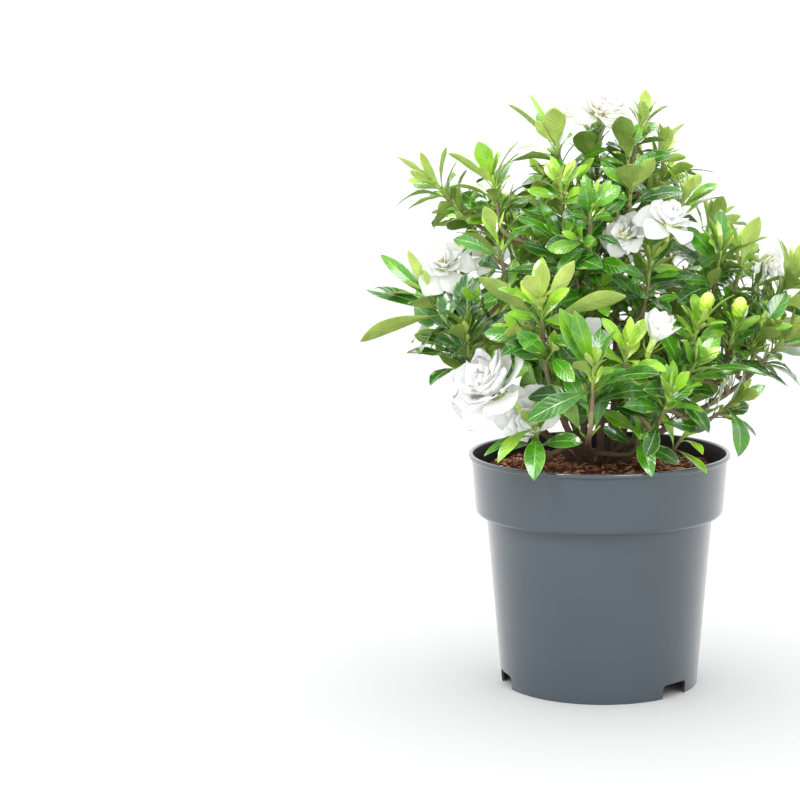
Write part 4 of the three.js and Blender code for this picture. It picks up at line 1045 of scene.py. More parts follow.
# What a vertex needs is reckoned in many short steps, so they stand in a table. Each row is a step: the
# name of its result, the operation, and what goes in.
BLADE_MATH = [
    ("half width", "MULTIPLY", "width", 0.5),
    ("half", "MULTIPLY", "half width", "wide"),
    ("edge", "MULTIPLY", "half", "aside"),
    ("aside squared", "MULTIPLY", "aside", "aside"),
    ("along squared", "MULTIPLY", "along", "along"),
    # The end is rounded by holding the sides back.
    ("corner", "MULTIPLY", "aside squared", "along squared"),
    ("held", "MULTIPLY", "corner", "Round end"),
    ("let go", "SUBTRACT", 1.0, "held"),
    ("reached", "MULTIPLY", "along", "let go"),
    # The midrib is arched.
    ("left", "SUBTRACT", 1.0, "reached"),
    ("low bow", "MULTIPLY", "reached", "left"),
    ("bow", "MULTIPLY", "low bow", 4.0),
    ("arch height", "MULTIPLY", "arch", "length"),
    ("arched", "MULTIPLY", "arch height", "bow"),
    # The blade is folded along it, or cupped across it.
    ("out", "ABSOLUTE", "aside"),
    ("slope", "MULTIPLY", "out", "half"),
    ("folded", "MULTIPLY", "slope", "Fold"),
    ("bowl", "MULTIPLY", "aside squared", "half"),
    ("cupped", "MULTIPLY", "bowl", "Cup"),
    # The edge is waved.
    ("beat", "MULTIPLY_ADD", "along", "Waves", "phase"),
    ("turns", "MULTIPLY_ADD", "aside", 0.35, "beat"),
    ("angle", "MULTIPLY", "turns", ROUND),
    ("sine", "SINE", "angle"),
    ("swing", "MULTIPLY", "sine", "bowl"),
    ("waved", "MULTIPLY", "swing", "Wave"),
    # The end curls, and the whole blade is twisted a little.
    ("late", "MULTIPLY", "along squared", "along squared"),
    ("roll", "MULTIPLY", "late", "length"),
    ("curled", "MULTIPLY", "roll", "Curl"),
    ("twist", "MULTIPLY", "turn", "Twist"),
    ("slant", "MULTIPLY", "twist", "along"),
    ("twisted", "MULTIPLY", "slant", "edge"),
    # The lower skin lies below the upper one, and further below it near the root, where the stalk is.
    ("to tip", "SUBTRACT", 1.0, "along"),
    ("near root", "POWER", "to tip", 12.0),
    ("depth", "MULTIPLY_ADD", "near root", "Stalk", "Thickness"),
    ("drop", "MULTIPLY", "depth", "skin"),
    # All of it together is how far the vertex rises.
    ("with fold", "ADD", "arched", "folded"),
    ("with cup", "ADD", "with fold", "cupped"),
    ("with wave", "ADD", "with cup", "waved"),
    ("with curl", "ADD", "with wave", "curled"),
    ("with twist", "ADD", "with curl", "twisted"),
    ("rise", "SUBTRACT", "with twist", "drop"),
]


def blades_tree():
    """Puts a template on every point and bends it into the leaf or petal that the point describes."""
    tree, add, sizes = new_tree("blades", {
        "Blade": ("Object", None),
        "Fold": ("Float", 0.14),
        "Cup": ("Float", 0.0),
        "Wave": ("Float", 0.1),
        "Waves": ("Float", 2.5),
        "Curl": ("Float", 0.0),
        "Twist": ("Float", 0.2),
        "Round end": ("Float", 0.0),
        "Thickness": ("Float", 0.0005),
        "Stalk": ("Float", 0.001),
        "Seed": ("Int", 1),
        "Material": ("Material", None),
    })
    rooted = add("GeometryNodeStoreNamedAttribute", {
        "Geometry": sizes["Geometry"], "Name": "root", "Value": add("GeometryNodeInputPosition"),
    }, data_type="FLOAT_VECTOR", domain="POINT")
    shape = add("GeometryNodeObjectInfo", {"Object": sizes["Blade"]})
    blades = add("GeometryNodeInstanceOnPoints", {"Points": rooted, "Instance": shape.outputs["Geometry"]})
    for offset, (label, least) in enumerate((("phase", 0.0), ("turn", -1.0))):
        seed = add("ShaderNodeMath", (sizes["Seed"], float(offset)), operation="ADD")
        draw = add("FunctionNodeRandomValue", {2: least, 3: 1.0, "Seed": seed}, data_type="FLOAT")
        blades = add("GeometryNodeStoreNamedAttribute", {
            "Geometry": blades, "Name": label, "Value": draw.outputs[1],
        }, data_type="FLOAT", domain="INSTANCE")
    real = add("GeometryNodeRealizeInstances", {"Geometry": blades})
    known = {
        label: add("GeometryNodeInputNamedAttribute", {"Name": label}, data_type=kind)
        for kind, labels in BLADE_KEEPS.items() for label in labels
    }
    known["length"] = add("ShaderNodeVectorMath", {0: known["run"]}, operation="LENGTH").outputs["Value"]
    for label in ("Fold", "Cup", "Wave", "Waves", "Curl", "Twist", "Round end", "Thickness", "Stalk"):
        known[label] = sizes[label]
    for label, operation, *terms in BLADE_MATH:
        inputs = [known.get(term, term) for term in terms]
        known[label] = add("ShaderNodeMath", inputs, operation=operation)
    spot = known["root"]
    for way, amount in (("run", "reached"), ("side", "edge"), ("lift", "rise")):
        part = add("ShaderNodeVectorMath", {0: known[way], "Scale": known[amount]}, operation="SCALE")
        spot = add("ShaderNodeVectorMath", (spot, part), operation="ADD")
    bent = add("GeometryNodeSetPosition", {"Geometry": real, "Position": spot})
    coloured = add("GeometryNodeSetMaterial", {"Geometry": bent, "Material": sizes["Material"]})
    add("NodeGroupOutput", {"Geometry": coloured})
    return tree


BLADES = blades_tree()
Blade = namedtuple("Blade", "root tip up width arch tone")


def blades(name, made, values):
    """A mesh object of blades, bent by the tree as each of them says."""
    vectors = {"run": [], "lift": [], "side": []}
    for b in made:
        run = b.tip - b.root
        lift = across(b.up, run.normalized())
        vectors["run"] += list(run * MM)
        vectors["lift"] += list(lift)
        vectors["side"] += list(lift.cross(run).normalized())
    mesh = formed(
        name, [b.root * MM for b in made],
        width=[b.width * MM for b in made], arch=[b.arch for b in made], tone=[b.tone for b in made],
    )
    for key, flat in vectors.items():
        mesh.attributes.new(key, "FLOAT_VECTOR", "POINT").data.foreach_set("vector", flat)
    return grown(placed(name, mesh), BLADES, values)


# %% [markdown]
# A gardenia leaf is leathery. Its upper side is deep green under a clear wax that mirrors the sky, with a
# pale midrib and eight or nine pairs of side veins, between which the blade swells a little. Its
# underside is paler, dull and grey-green. A young leaf is yellow-green. One material holds all of it: the
# template's places draw the veins, one attribute tells the sides apart, and another gives the leaf's age.

# %% Waxy leaf
VEIN_PAIRS = 9.0


def waxy_leaf(name):
    """A leathery evergreen leaf: glossy and deep green above, dull and pale below, with sunken veins."""
    material, add, shader = new_material(name, {
        "IOR": 1.48,
        "Coat Roughness": 0.13,
        "Subsurface Weight": 0.12,
        "Subsurface Radius": (0.5, 1.0, 0.15),
        "Subsurface Scale": 1.2 * MM,
    })
    place = add("ShaderNodeTexCoord").outputs["Object"]
    along, aside, tone, under = (
        add("ShaderNodeAttribute", attribute_name=label).outputs["Fac"]
        for label in ("along", "aside", "tone", "under")
    )
    out = add("ShaderNodeMath", {0: aside}, operation="ABSOLUTE")
    patches = add("ShaderNodeTexNoise", {"Vector": place, "Scale": 70, "Detail": 3})
    fine = add("ShaderNodeTexNoise", {"Vector": place, "Scale": 1500, "Detail": 2})

    # Side veins leave the midrib at a slant, so their places along the blade shift with the way out.
    shift = add("ShaderNodeMath", (out, 0.2), operation="MULTIPLY")
    slant = add("ShaderNodeMath", (along, shift), operation="SUBTRACT")
    angle = add("ShaderNodeMath", (slant, VEIN_PAIRS * math.pi), operation="MULTIPLY")
    beat = add("ShaderNodeMath", {0: angle}, operation="SINE")
    swell = add("ShaderNodeMath", {0: beat}, operation="ABSOLUTE")
    veins = add("ShaderNodeMapRange", (swell, 0.0, 0.3, 1.0, 0.0))
    midrib = add("ShaderNodeMapRange", (out, 0.02, 0.08, 1.0, 0.0))
    margin = add("ShaderNodeMapRange", (out, 0.86, 1.0, 0.0, 0.4))
    pale_veins = add("ShaderNodeMath", (veins, 0.12), operation="MULTIPLY")
    pale_midrib = add("ShaderNodeMath", (midrib, 0.55), operation="MULTIPLY")
    ribs = add("ShaderNodeMath", (pale_veins, pale_midrib), operation="MAXIMUM")
    lines = add("ShaderNodeMath", (ribs, margin), operation="MAXIMUM")

    drift = add("ShaderNodeMapRange", (patches, 0.3, 0.7, -0.12, 0.12))
    hue = add("ShaderNodeMath", (tone, drift), operation="ADD")
    upper = add("ShaderNodeValToRGB", {0: hue}, [
        (0.0, "#124c0c"), (0.35, "#3e8808"), (0.65, "#86ba1c"), (0.98, "#b8dc34"),
    ])
    lower = add("ShaderNodeValToRGB", {0: hue}, [(0.0, "#6c8836"), (0.5, "#a5ba5c"), (0.98, "#cddd7c")])
    veined = add("ShaderNodeMix", {0: lines, 6: upper, 7: linear("#b2cf76")}, data_type="RGBA")
    both = add("ShaderNodeMix", {0: under, 6: veined.outputs[2], 7: lower}, data_type="RGBA")
    dull = add("ShaderNodeMapRange", {0: under, 3: 0.2, 4: 0.5})
    rough = add("ShaderNodeMath", (patches, 0.12, dull), operation="MULTIPLY_ADD")
    ridges = add("ShaderNodeMath", (swell, 0.6), operation="POWER")
    pores = add("ShaderNodeMath", (fine, 0.12), operation="MULTIPLY")
    relief = add("ShaderNodeMath", (ridges, pores), operation="ADD")
    sunk = add("ShaderNodeMath", (relief, midrib), operation="SUBTRACT")
    bump = add("ShaderNodeBump", {"Strength": 0.42, "Distance": 0.5 * MM, "Height": sunk})
    wax = add("ShaderNodeMapRange", {0: under, 3: 0.9, 4: 0.0})
    fill(shader, {
        "Base Color": both.outputs[2], "Roughness": rough, "Coat Weight": wax, "Normal": bump,
    })
    return material


GARDENIA_LEAF = waxy_leaf("gardenia_leaf")


def green_skin(name):
    """The soft green skin of a shoot, stalk or calyx: smooth, a little waxy, browner on its older part."""
    material, add, shader = new_material(name, {"Roughness": 0.45})
    place = add("ShaderNodeTexCoord").outputs["Object"]
    youth = add("ShaderNodeAttribute", attribute_name="youth").outputs["Fac"]
    patches = add("ShaderNodeTexNoise", {"Vector": place, "Scale": 260, "Detail": 3})
    drift = add("ShaderNodeMapRange", (patches, 0.3, 0.7, -0.15, 0.15))
    hue = add("ShaderNodeMath", (youth, drift), operation="ADD")
    colour = add("ShaderNodeValToRGB", {0: hue}, [
        (0.0, "#7e6a58"), (0.3, "#82804e"), (0.7, "#8fb048"), (0.98, "#a8cc50"),
    ])
    bump = add("ShaderNodeBump", {"Strength": 0.3, "Distance": 0.3 * MM, "Height": patches})
    fill(shader, {"Base Color": colour, "Normal": bump})
    return material


GREEN_SKIN = green_skin("green_shoot_skin")

# %% [markdown]
# ## The leafy shoots
#
# Every leaf of the solids gets a fine one in its place. The solids were made by trying each leaf in a few
# positions until it was clear of the others. There is no need to repeat that search: a leaf's tip is a
# corner of the solid, so the position that was taken is the one whose tip is found among the corners.
# Small things that the solids leave out are added: a tuft of young leaves at each tip, and sprouts in
# the angles of older leaves.

# %% Leaves of the whorls
Whorl = namedtuple("Whorl", "below leaves share pitch droop")
WHORLS = [
    Whorl(3, 2, 0.56, 26, 0),
    Whorl(12, 3, 0.86, 46, 0.06),
    Whorl(24, 3, 1, 64, 0.16),
    Whorl(37, 3, 0.94, 76, 0.26),
]
STALK_OFFSET = 1.3  # from the stem's middle to where a leaf's own line starts
TIP_TRIES = [
    (0, 0, 0), (0, -7, 0), (0, 7, 0), (0, -12, 3), (4, -8, 4), (-4, -8, 4),
    (0, 12, 3), (6, 0, 6), (-6, 0, 6), (0, -18, 6), (8, -6, -6), (-8, -6, -6),
]
WHORL_ROLL, SPRIG_ROLL = 0.45, 0.9  # how far leaves turn to the outside of the bush
TURN_TRIES = [0, 0.3, -0.3, 0.6, -0.6, 0.15, -0.15, 0.45, -0.45]
SAME_PLACE = 0.05  # how near a corner of the solid lies to a tip that it was made from


def corner_near(node):
    """A function that tells whether a solid has a corner at a place."""
    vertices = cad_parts[node].data.vertices
    corners = kdtree.KDTree(len(vertices))
    for i, vertex in enumerate(vertices):
        corners.insert(vertex.co, i)
    corners.balance()
    return lambda place: corners.find(place * MM)[2] < SAME_PLACE * MM


def tone_of(shoot, whorl, key):
    """How fresh a leaf's green is, from 0 to 1: upper whorls and young shoots are fresher."""
    fresh = 1 - shoot.age - 0.2 * whorl + 0.12
    return min(max(fresh + 0.24 * (chance(key, 8) - 0.5), 0.0), 0.9)


def seen_leaf(shoot, row, attempt):
    """A leaf whose tip is known, in one of the positions that its tip may have."""
    whorl, tip_place, width, arch, *look = row
    middle = below(shoot, WHORLS[whorl].below)
    tip = Vector(tip_place) + Vector(TIP_TRIES[attempt])
    axis = direction_of(shoot)
    root = middle + across(tip - middle, axis) * STALK_OFFSET
    up = Vector(look[0]) if look else axis
    return Blade(root, tip, up, width, arch, tone_of(shoot, whorl, width + tip.x))


def leaf_on(axis, root, run, length, breadth, arch, tone, roll, draw):
    """A leaf whose upper side looks up its shoot, rolled to the outside of the bush and its light."""
    side = run.cross(axis).normalized()
    up = across(axis, run) + side * (roll * outwards(root).dot(side) + 0.5 * (draw - 0.5))
    return Blade(root, root + run * length, up, length * breadth, arch, tone)


def leaves_in(shoot, whorl):
    """How many leaves a whorl of a shoot has, which is none where its green end doesn't reach."""
    if whorl.below >= green_of(shoot):
        return 0
    return 2 if shoot.small else whorl.leaves


def whorl_leaf(shoot, seed, whorl, index, attempt):
    """A leaf that follows the whorl rule, in one of its positions."""
    w = WHORLS[whorl]
    axis = direction_of(shoot)
    count = leaves_in(shoot, w)
    key = seed * 12 + whorl * 3 + index
    even = (index + 0.5 * (whorl % 2)) / count
    turn = ROUND * (even + chance(seed, 1)) + 0.5 * (chance(key, 2) - 0.5) + TURN_TRIES[attempt]
    out = framed(axis, SHOOT_START)(turn)
    pitch = math.radians(max(w.pitch + 12 * (chance(key, 3) - 0.5) - 4 * attempt, 18))
    run = slanted(axis, out, pitch)
    run.z -= w.droop
    length = shoot.leaf * w.share * (0.9 + 0.2 * chance(key, 4)) * (1 - 0.05 * attempt)
    root = below(shoot, w.below) + out * STALK_OFFSET
    arch = 0.04 + 0.1 * chance(key, 6) * (0.5 + 0.3 * whorl)
    breadth, tone = 0.33 + 0.06 * chance(key, 7), tone_of(shoot, whorl, key)
    return leaf_on(axis, root, run.normalized(), length, breadth, arch, tone, WHORL_ROLL, chance(key, 5))


def taken(there, tries, make):
    """The first of a blade's positions that the solid has, or nothing where the solid left it out."""
    for attempt in range(tries):
        blade = make(attempt)
        if there(blade):
            return blade
    return None


def leaves_of(name, seed):
    """The leaves of a shoot that the solid has: those seen plainly, and those of the rule."""
    shoot = SHOOTS[name]
    corner = corner_near(name)
    seen = [
        taken(lambda b: corner(b.tip), len(TIP_TRIES), partial(seen_leaf, shoot, row))
        for row in shoot.seen
    ]
    ruled = [
        taken(lambda b: corner(b.tip), len(TURN_TRIES), partial(whorl_leaf, shoot, seed, whorl, index))
        for whorl, w in enumerate(WHORLS) for index in range(leaves_in(shoot, w))
    ]
    return [b for b in seen if b], [b for b in ruled if b]


def tuft(shoot, seed, bears_flower):
    """Young leaves at a shoot's tip and sprouts in the angles of its older leaves."""
    first = ROUND * chance(seed, 20)
    rows = []
    for k in range(0 if bears_flower else 5):
        draw = chance(seed * 7 + k, 21)
        length = shoot.leaf * (0.42 - 0.05 * k + 0.1 * draw)
        turn = first + k * ROUND / 5 + 0.4 * draw
        rows.append((2 - 0.4 * k, turn, 0.2 + 0.3 * draw + 0.06 * (4 - k), length))
    for whorl, w in enumerate(WHORLS[1:]):
        if leaves_in(shoot, w) and chance(seed * 5 + whorl, 22) > 0.45:
            turn = ROUND * chance(seed * 5 + whorl, 23)
            for k in range(3):
                draw = chance(seed * 15 + whorl * 3 + k, 24)
                length = shoot.leaf * (0.24 + 0.16 * draw)
                rows.append((w.below - 3, turn + 0.9 * (k - 1), 0.5 + 0.4 * draw, length))
    axis = direction_of(shoot)
    made = []
    for distance, turn, pitch, length in rows:
        out = framed(axis, SHOOT_START)(turn)
        root = below(shoot, distance) + out * 0.5
        tip = root + slanted(axis, out, pitch) * length
        made.append(Blade(root, tip, axis, length * 0.24, -0.04, 0.95 - 0.25 * shoot.age))
    return made


# %% Stalks of the blooms
HEART_BACK, HEART_NECK = -17, -6  # where a bloom's tube starts and widens, from its centre
PEDICEL_GIRTH, CALYX_GIRTH = 1.3, 2.6
CALYX_LENGTH = 5  # from a shoot's tip to the foot of its bud
STALK_STEPS, SHOOT_STEPS = 16, 26
TIP_GIRTH, GREEN_GIRTH = 1.5, 2.2


def face_of(bloom):
    """The way a bloom faces."""
    return Vector(bloom.face).normalized()


def stalk_line(bloom):
    """The green stalk of a bloom, which flares into the calyx."""
    shoot, face = SHOOTS[bloom.on], face_of(bloom)
    start = below(shoot, max(bloom.below, 1))
    end = Vector(bloom.centre) + face * (HEART_BACK - 0.3)
    reach = 0.4 * (end - start).length
    controls = [start, start + direction_of(shoot) * reach, end - face * reach, end]
    points, _ = bezier(controls, STALK_STEPS)
    shares = [k / STALK_STEPS for k in range(STALK_STEPS + 1)]
    flare = [PEDICEL_GIRTH + (CALYX_GIRTH - PEDICEL_GIRTH) * t**2 for t in shares]
    return Line(points, flare, [0.55 + 0.4 * t for t in shares])


def sepals(end, face, length, spread, seed):
    """The six long narrow teeth of a calyx."""
    made = []
    for k in range(6):
        out = framed(face, FLOWER_START)(ROUND * (k + 0.4 * chance(seed, k)) / 6)
        lean = spread * (0.7 + 0.6 * chance(seed + 1, k))
        root = end + out * (CALYX_GIRTH - 0.5)
        tip = root + slanted(face, out, lean) * (length * (0.8 + 0.4 * chance(seed + 2, k)))
        made.append(Blade(root, tip, face - out * 0.6, 2.4, -0.06, 0.75))
    return made


def shoot_line(shoot):
    """The green end of a twig, a little thicker at every whorl."""
    length = green_of(shoot)
    points, girths, youth = [], [], []
    for k in range(SHOOT_STEPS + 1):
        distance = length * (1 - k / SHOOT_STEPS) + 0.5 * k / SHOOT_STEPS
        points.append(below(shoot, distance))
        knot = sum(0.2 * math.exp(-(((distance - w.below) / 1.4) ** 2)) for w in WHORLS)
        girths.append((TIP_GIRTH + (GREEN_GIRTH - TIP_GIRTH) * distance / GREEN_LENGTH) * (0.86 + knot))
        youth.append(max(1 - 1.4 * distance / length, 0.0))
    girths[-1] *= 0.4
    return Line(points, girths, youth)


# %% Grow every shoot
LEAF_FORM = {
    "Fold": 0.2, "Cup": -0.06, "Wave": 0.08, "Waves": 1.8, "Twist": 0.25, "Thickness": 0.45 * MM,
    "Stalk": 0.9 * MM, "Material": GARDENIA_LEAF,
}
tip_flowers = {b.on for b in BLOOMS.values() if b.below == 0} | set(BUDS.values())
grown_leaves = []
for seed, (name, shoot) in enumerate(SHOOTS.items()):
    seen, ruled = leaves_of(name, seed)
    small = tuft(shoot, seed, name in tip_flowers)
    lines = [shoot_line(shoot)]
    for number, bloom in enumerate(BLOOMS.values()):
        if bloom.on == name:
            lines.append(stalk_line(bloom))
            small += sepals(lines[-1].points[-1], face_of(bloom), 13, 0.55, number)
    if name in BUDS.values():
        ends = [below(shoot, 1), below(shoot, -0.5 * CALYX_LENGTH), below(shoot, -CALYX_LENGTH)]
        lines.append(Line(ends, [PEDICEL_GIRTH, 1.8, CALYX_GIRTH], [0.7, 0.8, 0.9]))
        small += sepals(ends[-1], direction_of(shoot), 15, 0.3, seed)
    parts = [tubes(name + "_stem", lines, GREEN_SKIN, 8, 0.1, 3.0)]
    kinds = (("seen", FINE_LEAF, seen), ("ruled", LEAF, ruled), ("small", LEAFLET, small))
    for label, template, made in kinds:
        if made:
            parts.append(blades(f"{name}_{label}", made, {**LEAF_FORM, "Blade": template, "Seed": seed}))
    piece = joined(name + "_shoot", parts)
    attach(piece, BODY)
    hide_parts(name)
    grown_leaves += seen + ruled + small
print("The shoots have", len(grown_leaves), "leaves and leaflets")

# %% [markdown]
# ## Side sprigs and older leaves
#
# Below its green end a twig carries leaves of earlier years and short side sprigs, and they are what
# makes the bush dense. They are too many to place by hand, so they follow a rule: nodes every 13 mm or so
# down each twig, each with a sprig or a pair of older leaves, turned by the golden angle from one node to
# the next. A leaf isn't grown where it would stick out of the bush, run into a bloom, hide one from the
# front, or crowd other leaves.

# %% Room for a leaf
Node = namedtuple("Node", "place along")
GOLDEN_ANGLE = math.radians(137.5)
CELL, CELL_LIMIT, CROWDED = 9.0, 2, 4  # the bush is divided in cells that hold so many leaf parts
LOWEST_LEAF, RIM_SLOPE, RIM_REACH = 222, 0.9, 62  # the foliage's underside rises outside the pot's middle
BOX_MARGIN = 3.0
BLOOM_CLEAR, VIEW_CLEAR = 0.95, 0.8  # how much of a bloom's radius is kept clear, and of the view of it
PART_PLACES = (0.35, 0.65, 0.95)  # along a leaf
crowd = Counter()


def cell_of(place):
    """The cell of the bush that a place is in."""
    return tuple(int(c // CELL) for c in place)


def parts_of(blade):
    """Places along a blade's run that stand for it."""
    return [blade.root.lerp(blade.tip, t) for t in PART_PLACES]


def too_low(place):
    """Whether a place is under the foliage, where only stems are."""
    return place.z < LOWEST_LEAF + RIM_SLOPE * max(math.hypot(place.x, place.y) - RIM_REACH, 0)


def near_bloom(place):
    """Whether a place is inside a bloom, or between one and the eye in front."""
    for bloom in BLOOMS.values():
        away = place - Vector(bloom.centre)
        towards_eye = (CAMERA_PLACE - Vector(bloom.centre)).normalized()
        ahead = away.dot(towards_eye)
        aside = (away - towards_eye * ahead).length
        hides = ahead > 0 and aside < VIEW_CLEAR * bloom.radius
        if hides or away.length < BLOOM_CLEAR * bloom.radius:
            return True
    return False


def has_room(blade, limit=CELL_LIMIT):
    """Whether a leaf has room in the bush; if so, the room is taken."""
    margin = BOX_MARGIN * MM
    for place in parts_of(blade):
        inside = all(low + margin < c * MM < high - margin for c, low, high in zip(place, *CAD_BOX))
        if not inside or too_low(place) or near_bloom(place) or crowd[cell_of(place)] >= limit:
            return False
    take_room(blade)
    return True


def take_room(blade):
    """Marks the cells that a leaf is in."""
    for place in parts_of(blade):
        crowd[cell_of(place)] += 1


for blade in grown_leaves:
    take_room(blade)
print(len(grown_leaves), "leaves take room in", len(crowd), "cells")

# %% Nodes of a twig, and what grows at each
NODE_SPACING, NODE_FIRST, NODE_LAST = 13.0, 3.0, 0.8  # the last as a share of the twig's length
NODE_STEPS = 80
Level = namedtuple("Level", "back leaves pitch share")  # millimetres below the tip, and degrees
SPRIG_LEVELS = [Level(0, 3, 22, 0.62), Level(6, 3, 48, 0.95), Level(14, 2, 66, 1)]
GAP_LEVELS = [Level(4, 3, 30, 0.5), Level(9, 3, 42, 0.64), Level(19, 3, 58, 0.72), Level(31, 2, 68, 0.7)]
LEVEL_DROOP = 0.05
SPRIG_LEAST, SPRIG_MORE = 12, 16  # the shortest sprig, and what chance adds to it at most
SPRIG_RISE = Vector((0, 0, 0.55))


def nodes_of(path):
    """Nodes down a twig from its green end, as places with the twig's direction there."""
    points, tangents = bezier(path, NODE_STEPS)
    length = sum((b - a).length for a, b in zip(points, points[1:]))
    made, travelled, due = [], 0.0, NODE_FIRST
    for k in range(NODE_STEPS, 0, -1):
        if due <= travelled < NODE_LAST * length and points[k].z > LOWEST_LEAF:
            made.append(Node(points[k], tangents[k]))
            due += NODE_SPACING * (0.8 + 0.4 * chance(due, length))
        travelled += (points[k] - points[k - 1]).length
    return made


def sprig_at(node, turn, key, size):
    """A short side sprig: its stem's line, and two whorls of leaves and a tuft."""
    out = framed(node.along, NODE_START)(turn)
    axis = (out + node.along * 0.6 + outwards(node.place) * 0.35 + SPRIG_RISE).normalized()
    length = SPRIG_LEAST + SPRIG_MORE * chance(key, 31)
    tip = node.place + axis * length
    line = Line([node.place, node.place.lerp(tip, 0.5), tip], [1.5, 1.2, 0.8], [0.3, 0.6, 0.9])
    made = []
    for whorl, level in enumerate(SPRIG_LEVELS):
        for k in range(level.leaves if level.back < length else 0):
            even = k / level.leaves + 0.5 * (whorl % 2)
            around = framed(axis, SHOOT_START)(ROUND * (even + chance(key, 32)) + 0.5 * chance(key + k, 33))
            slope = math.radians(level.pitch + 14 * (chance(key + k, 34 + whorl) - 0.5))
            run = slanted(axis, around, slope)
            run.z -= LEVEL_DROOP * whorl
            reach = size * level.share * (0.8 + 0.35 * chance(key + k, 37 + whorl))
            root = tip - axis * level.back + around * 0.7
            tone = 0.66 - 0.2 * whorl + 0.24 * (chance(key + k, 41) - 0.5)
            draw = chance(key + k, 44)
            made.append(leaf_on(axis, root, run.normalized(), reach, 0.36, 0.08, tone, SPRIG_ROLL, draw))
    return line, made


def old_pair_at(node, turn, key, size):
    """Two older leaves on opposite sides of a twig, which reach out and droop."""
    made = []
    for k in range(2):
        out = framed(node.along, NODE_START)(turn + k * ROUND / 2)
        run = (out + node.along * (0.5 + 0.4 * chance(key + k, 51)) + Vector((0, 0, 0.15))).normalized()
        reach = size * (0.85 + 0.4 * chance(key + k, 52))
        tone, draw = 0.12 + 0.3 * chance(key + k, 53), chance(key + k, 54)
        root = node.place + out * 1.6
        made.append(leaf_on(node.along, root, run, reach, 0.37, 0.12, tone, SPRIG_ROLL, draw))
    return made


def between_whorls(shoot, seed):
    """Leaves of middle size that stand in the gaps between a shoot's whorls."""
    axis = direction_of(shoot)
    made = []
    for number, level in enumerate(GAP_LEVELS):
        for k in range(level.leaves if level.back < green_of(shoot) else 0):
            key = seed * 17 + number * 4 + k
            out = framed(axis, SHOOT_START)(GOLDEN_ANGLE * (3 * number + k) + ROUND * chance(seed, 60))
            slope = math.radians(level.pitch + 16 * (chance(key, 61) - 0.5))
            run = slanted(axis, out, slope)
            run.z -= LEVEL_DROOP * number
            reach = shoot.leaf * level.share * (0.8 + 0.4 * chance(key, 62))
            root = below(shoot, level.back) + out * 1.2
            tone, draw = tone_of(shoot, max(number - 1, 0), key + 500), chance(key, 63)
            made.append(leaf_on(axis, root, run.normalized(), reach, 0.32, 0.07, tone, SPRIG_ROLL, draw))
    return made


# %% Grow the sprigs and older leaves, one piece for each main stem
SPRIG_SHARE = 0.6  # of the nodes, the rest have older leaves
ADDED_SHARE = 0.8  # of a full leaf's length
added = 0
for stem_name in STEMS:
    lines, leaves = [], []
    for seed, (name, shoot) in enumerate(SHOOTS.items()):
        if shoot.on != stem_name:
            continue
        leaves += [blade for blade in between_whorls(shoot, seed) if has_room(blade, CROWDED)]
        for number, node in enumerate(nodes_of(twig_paths[name])):
            key = 100 * seed + 7 * number
            turn = GOLDEN_ANGLE * number + ROUND * chance(seed, 30)
            size = shoot.leaf * ADDED_SHARE
            if chance(key, 29) < SPRIG_SHARE:
                line, made = sprig_at(node, turn, key, size)
            else:
                line, made = None, old_pair_at(node, turn, key, size)
            made = [blade for blade in made if has_room(blade)]
            if line and made:
                lines.append(line)
            leaves += made
    if not leaves:
        continue
    parts = [blades(stem_name + "_fill", leaves, {**LEAF_FORM, "Blade": LEAF, "Seed": 200})]
    if lines:
        parts.append(tubes(stem_name + "_sprigs", lines, GREEN_SKIN, 7, 0.1, 3.0))
    piece = joined(stem_name + "_sprigs", parts)
    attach(piece, BODY)
    added += len(leaves)
print(added, "leaves are added on side sprigs and older wood")

# %% [markdown]
# ## The blooms
#
# A double gardenia is a spiral of thick white petals, each over the edge of the next. Outer petals lie
# open and roll back at their ends, and inner ones stand up and cup round the yellow anthers. The petals
# of the solids are found again as the leaves were, and rings of smaller petals that the solids have no
# room for fill the middle.

# %% Petals
HEART_FIRST, HEART_STEP = -3.4, 3.0
PETAL_BAND = 2.2
PETAL_THICKNESS, PETAL_TILT = 1.1, 0.34
PETAL_TRIES = 4
SPREAD = 1.18  # petals are drawn broader than in the solids, so that each lies over the next
STANDING = 30  # degrees of lift from which a petal belongs to the bloom's inside
TUBE_GIRTHS = {HEART_BACK: 2.4, -12: 2.7, HEART_NECK: 3.2, HEART_FIRST: 4.6, 0: 4.4, 4: 3.4}


def heart_girth(ring):
    """The radius of a bloom's middle where a ring of petals grows from it."""
    return 5 - 0.6 * ring


def petal_of(bloom, ring, row, index, attempt):
    """A petal of a ring, in one of its positions."""
    count, share, lift, breadth = row
    face = face_of(bloom)
    radius = bloom.radius
    turn = 0.5 * ring + 0.1 + ROUND * index / count + ROUND / 12
    out = framed(face, FLOWER_START)(turn)
    draw = chance(ring + radius, index + bloom.centre[0])
    rise = math.radians(lift + 8 * (draw - 0.5) + 9 * attempt)
    along = slanted(out, face, rise)
    level = HEART_FIRST + HEART_STEP * ring
    root = Vector(bloom.centre) + face * (level + PETAL_BAND / 2) + out * (heart_girth(ring) - 1)
    reach = radius * share * (0.96 + 0.08 * chance(index + 3, ring + radius))
    length = reach - (heart_girth(ring) - 1) * math.cos(rise)
    up = face * math.cos(rise) - out * math.sin(rise) + face.cross(out) * PETAL_TILT
    arch = 0.07 if lift < 20 else -0.05
    return Blade(root, root + along * length, up, length * breadth * SPREAD, arch, bloom.fade)


def keel_end(petal):
    """The corner of the solid at the middle of a petal's blunt end."""
    run = (petal.tip - petal.root).normalized()
    return petal.tip - across(petal.up, run) * PETAL_THICKNESS


# %% [markdown]
# Petals are thick, soft and matt, and light passes some way into them, which is why their shadows are
# pale. That is what subsurface scattering is for. A fading petal turns cream and then ochre from its
# edges. Fine veins run lengthwise, about 1.5 mm apart.

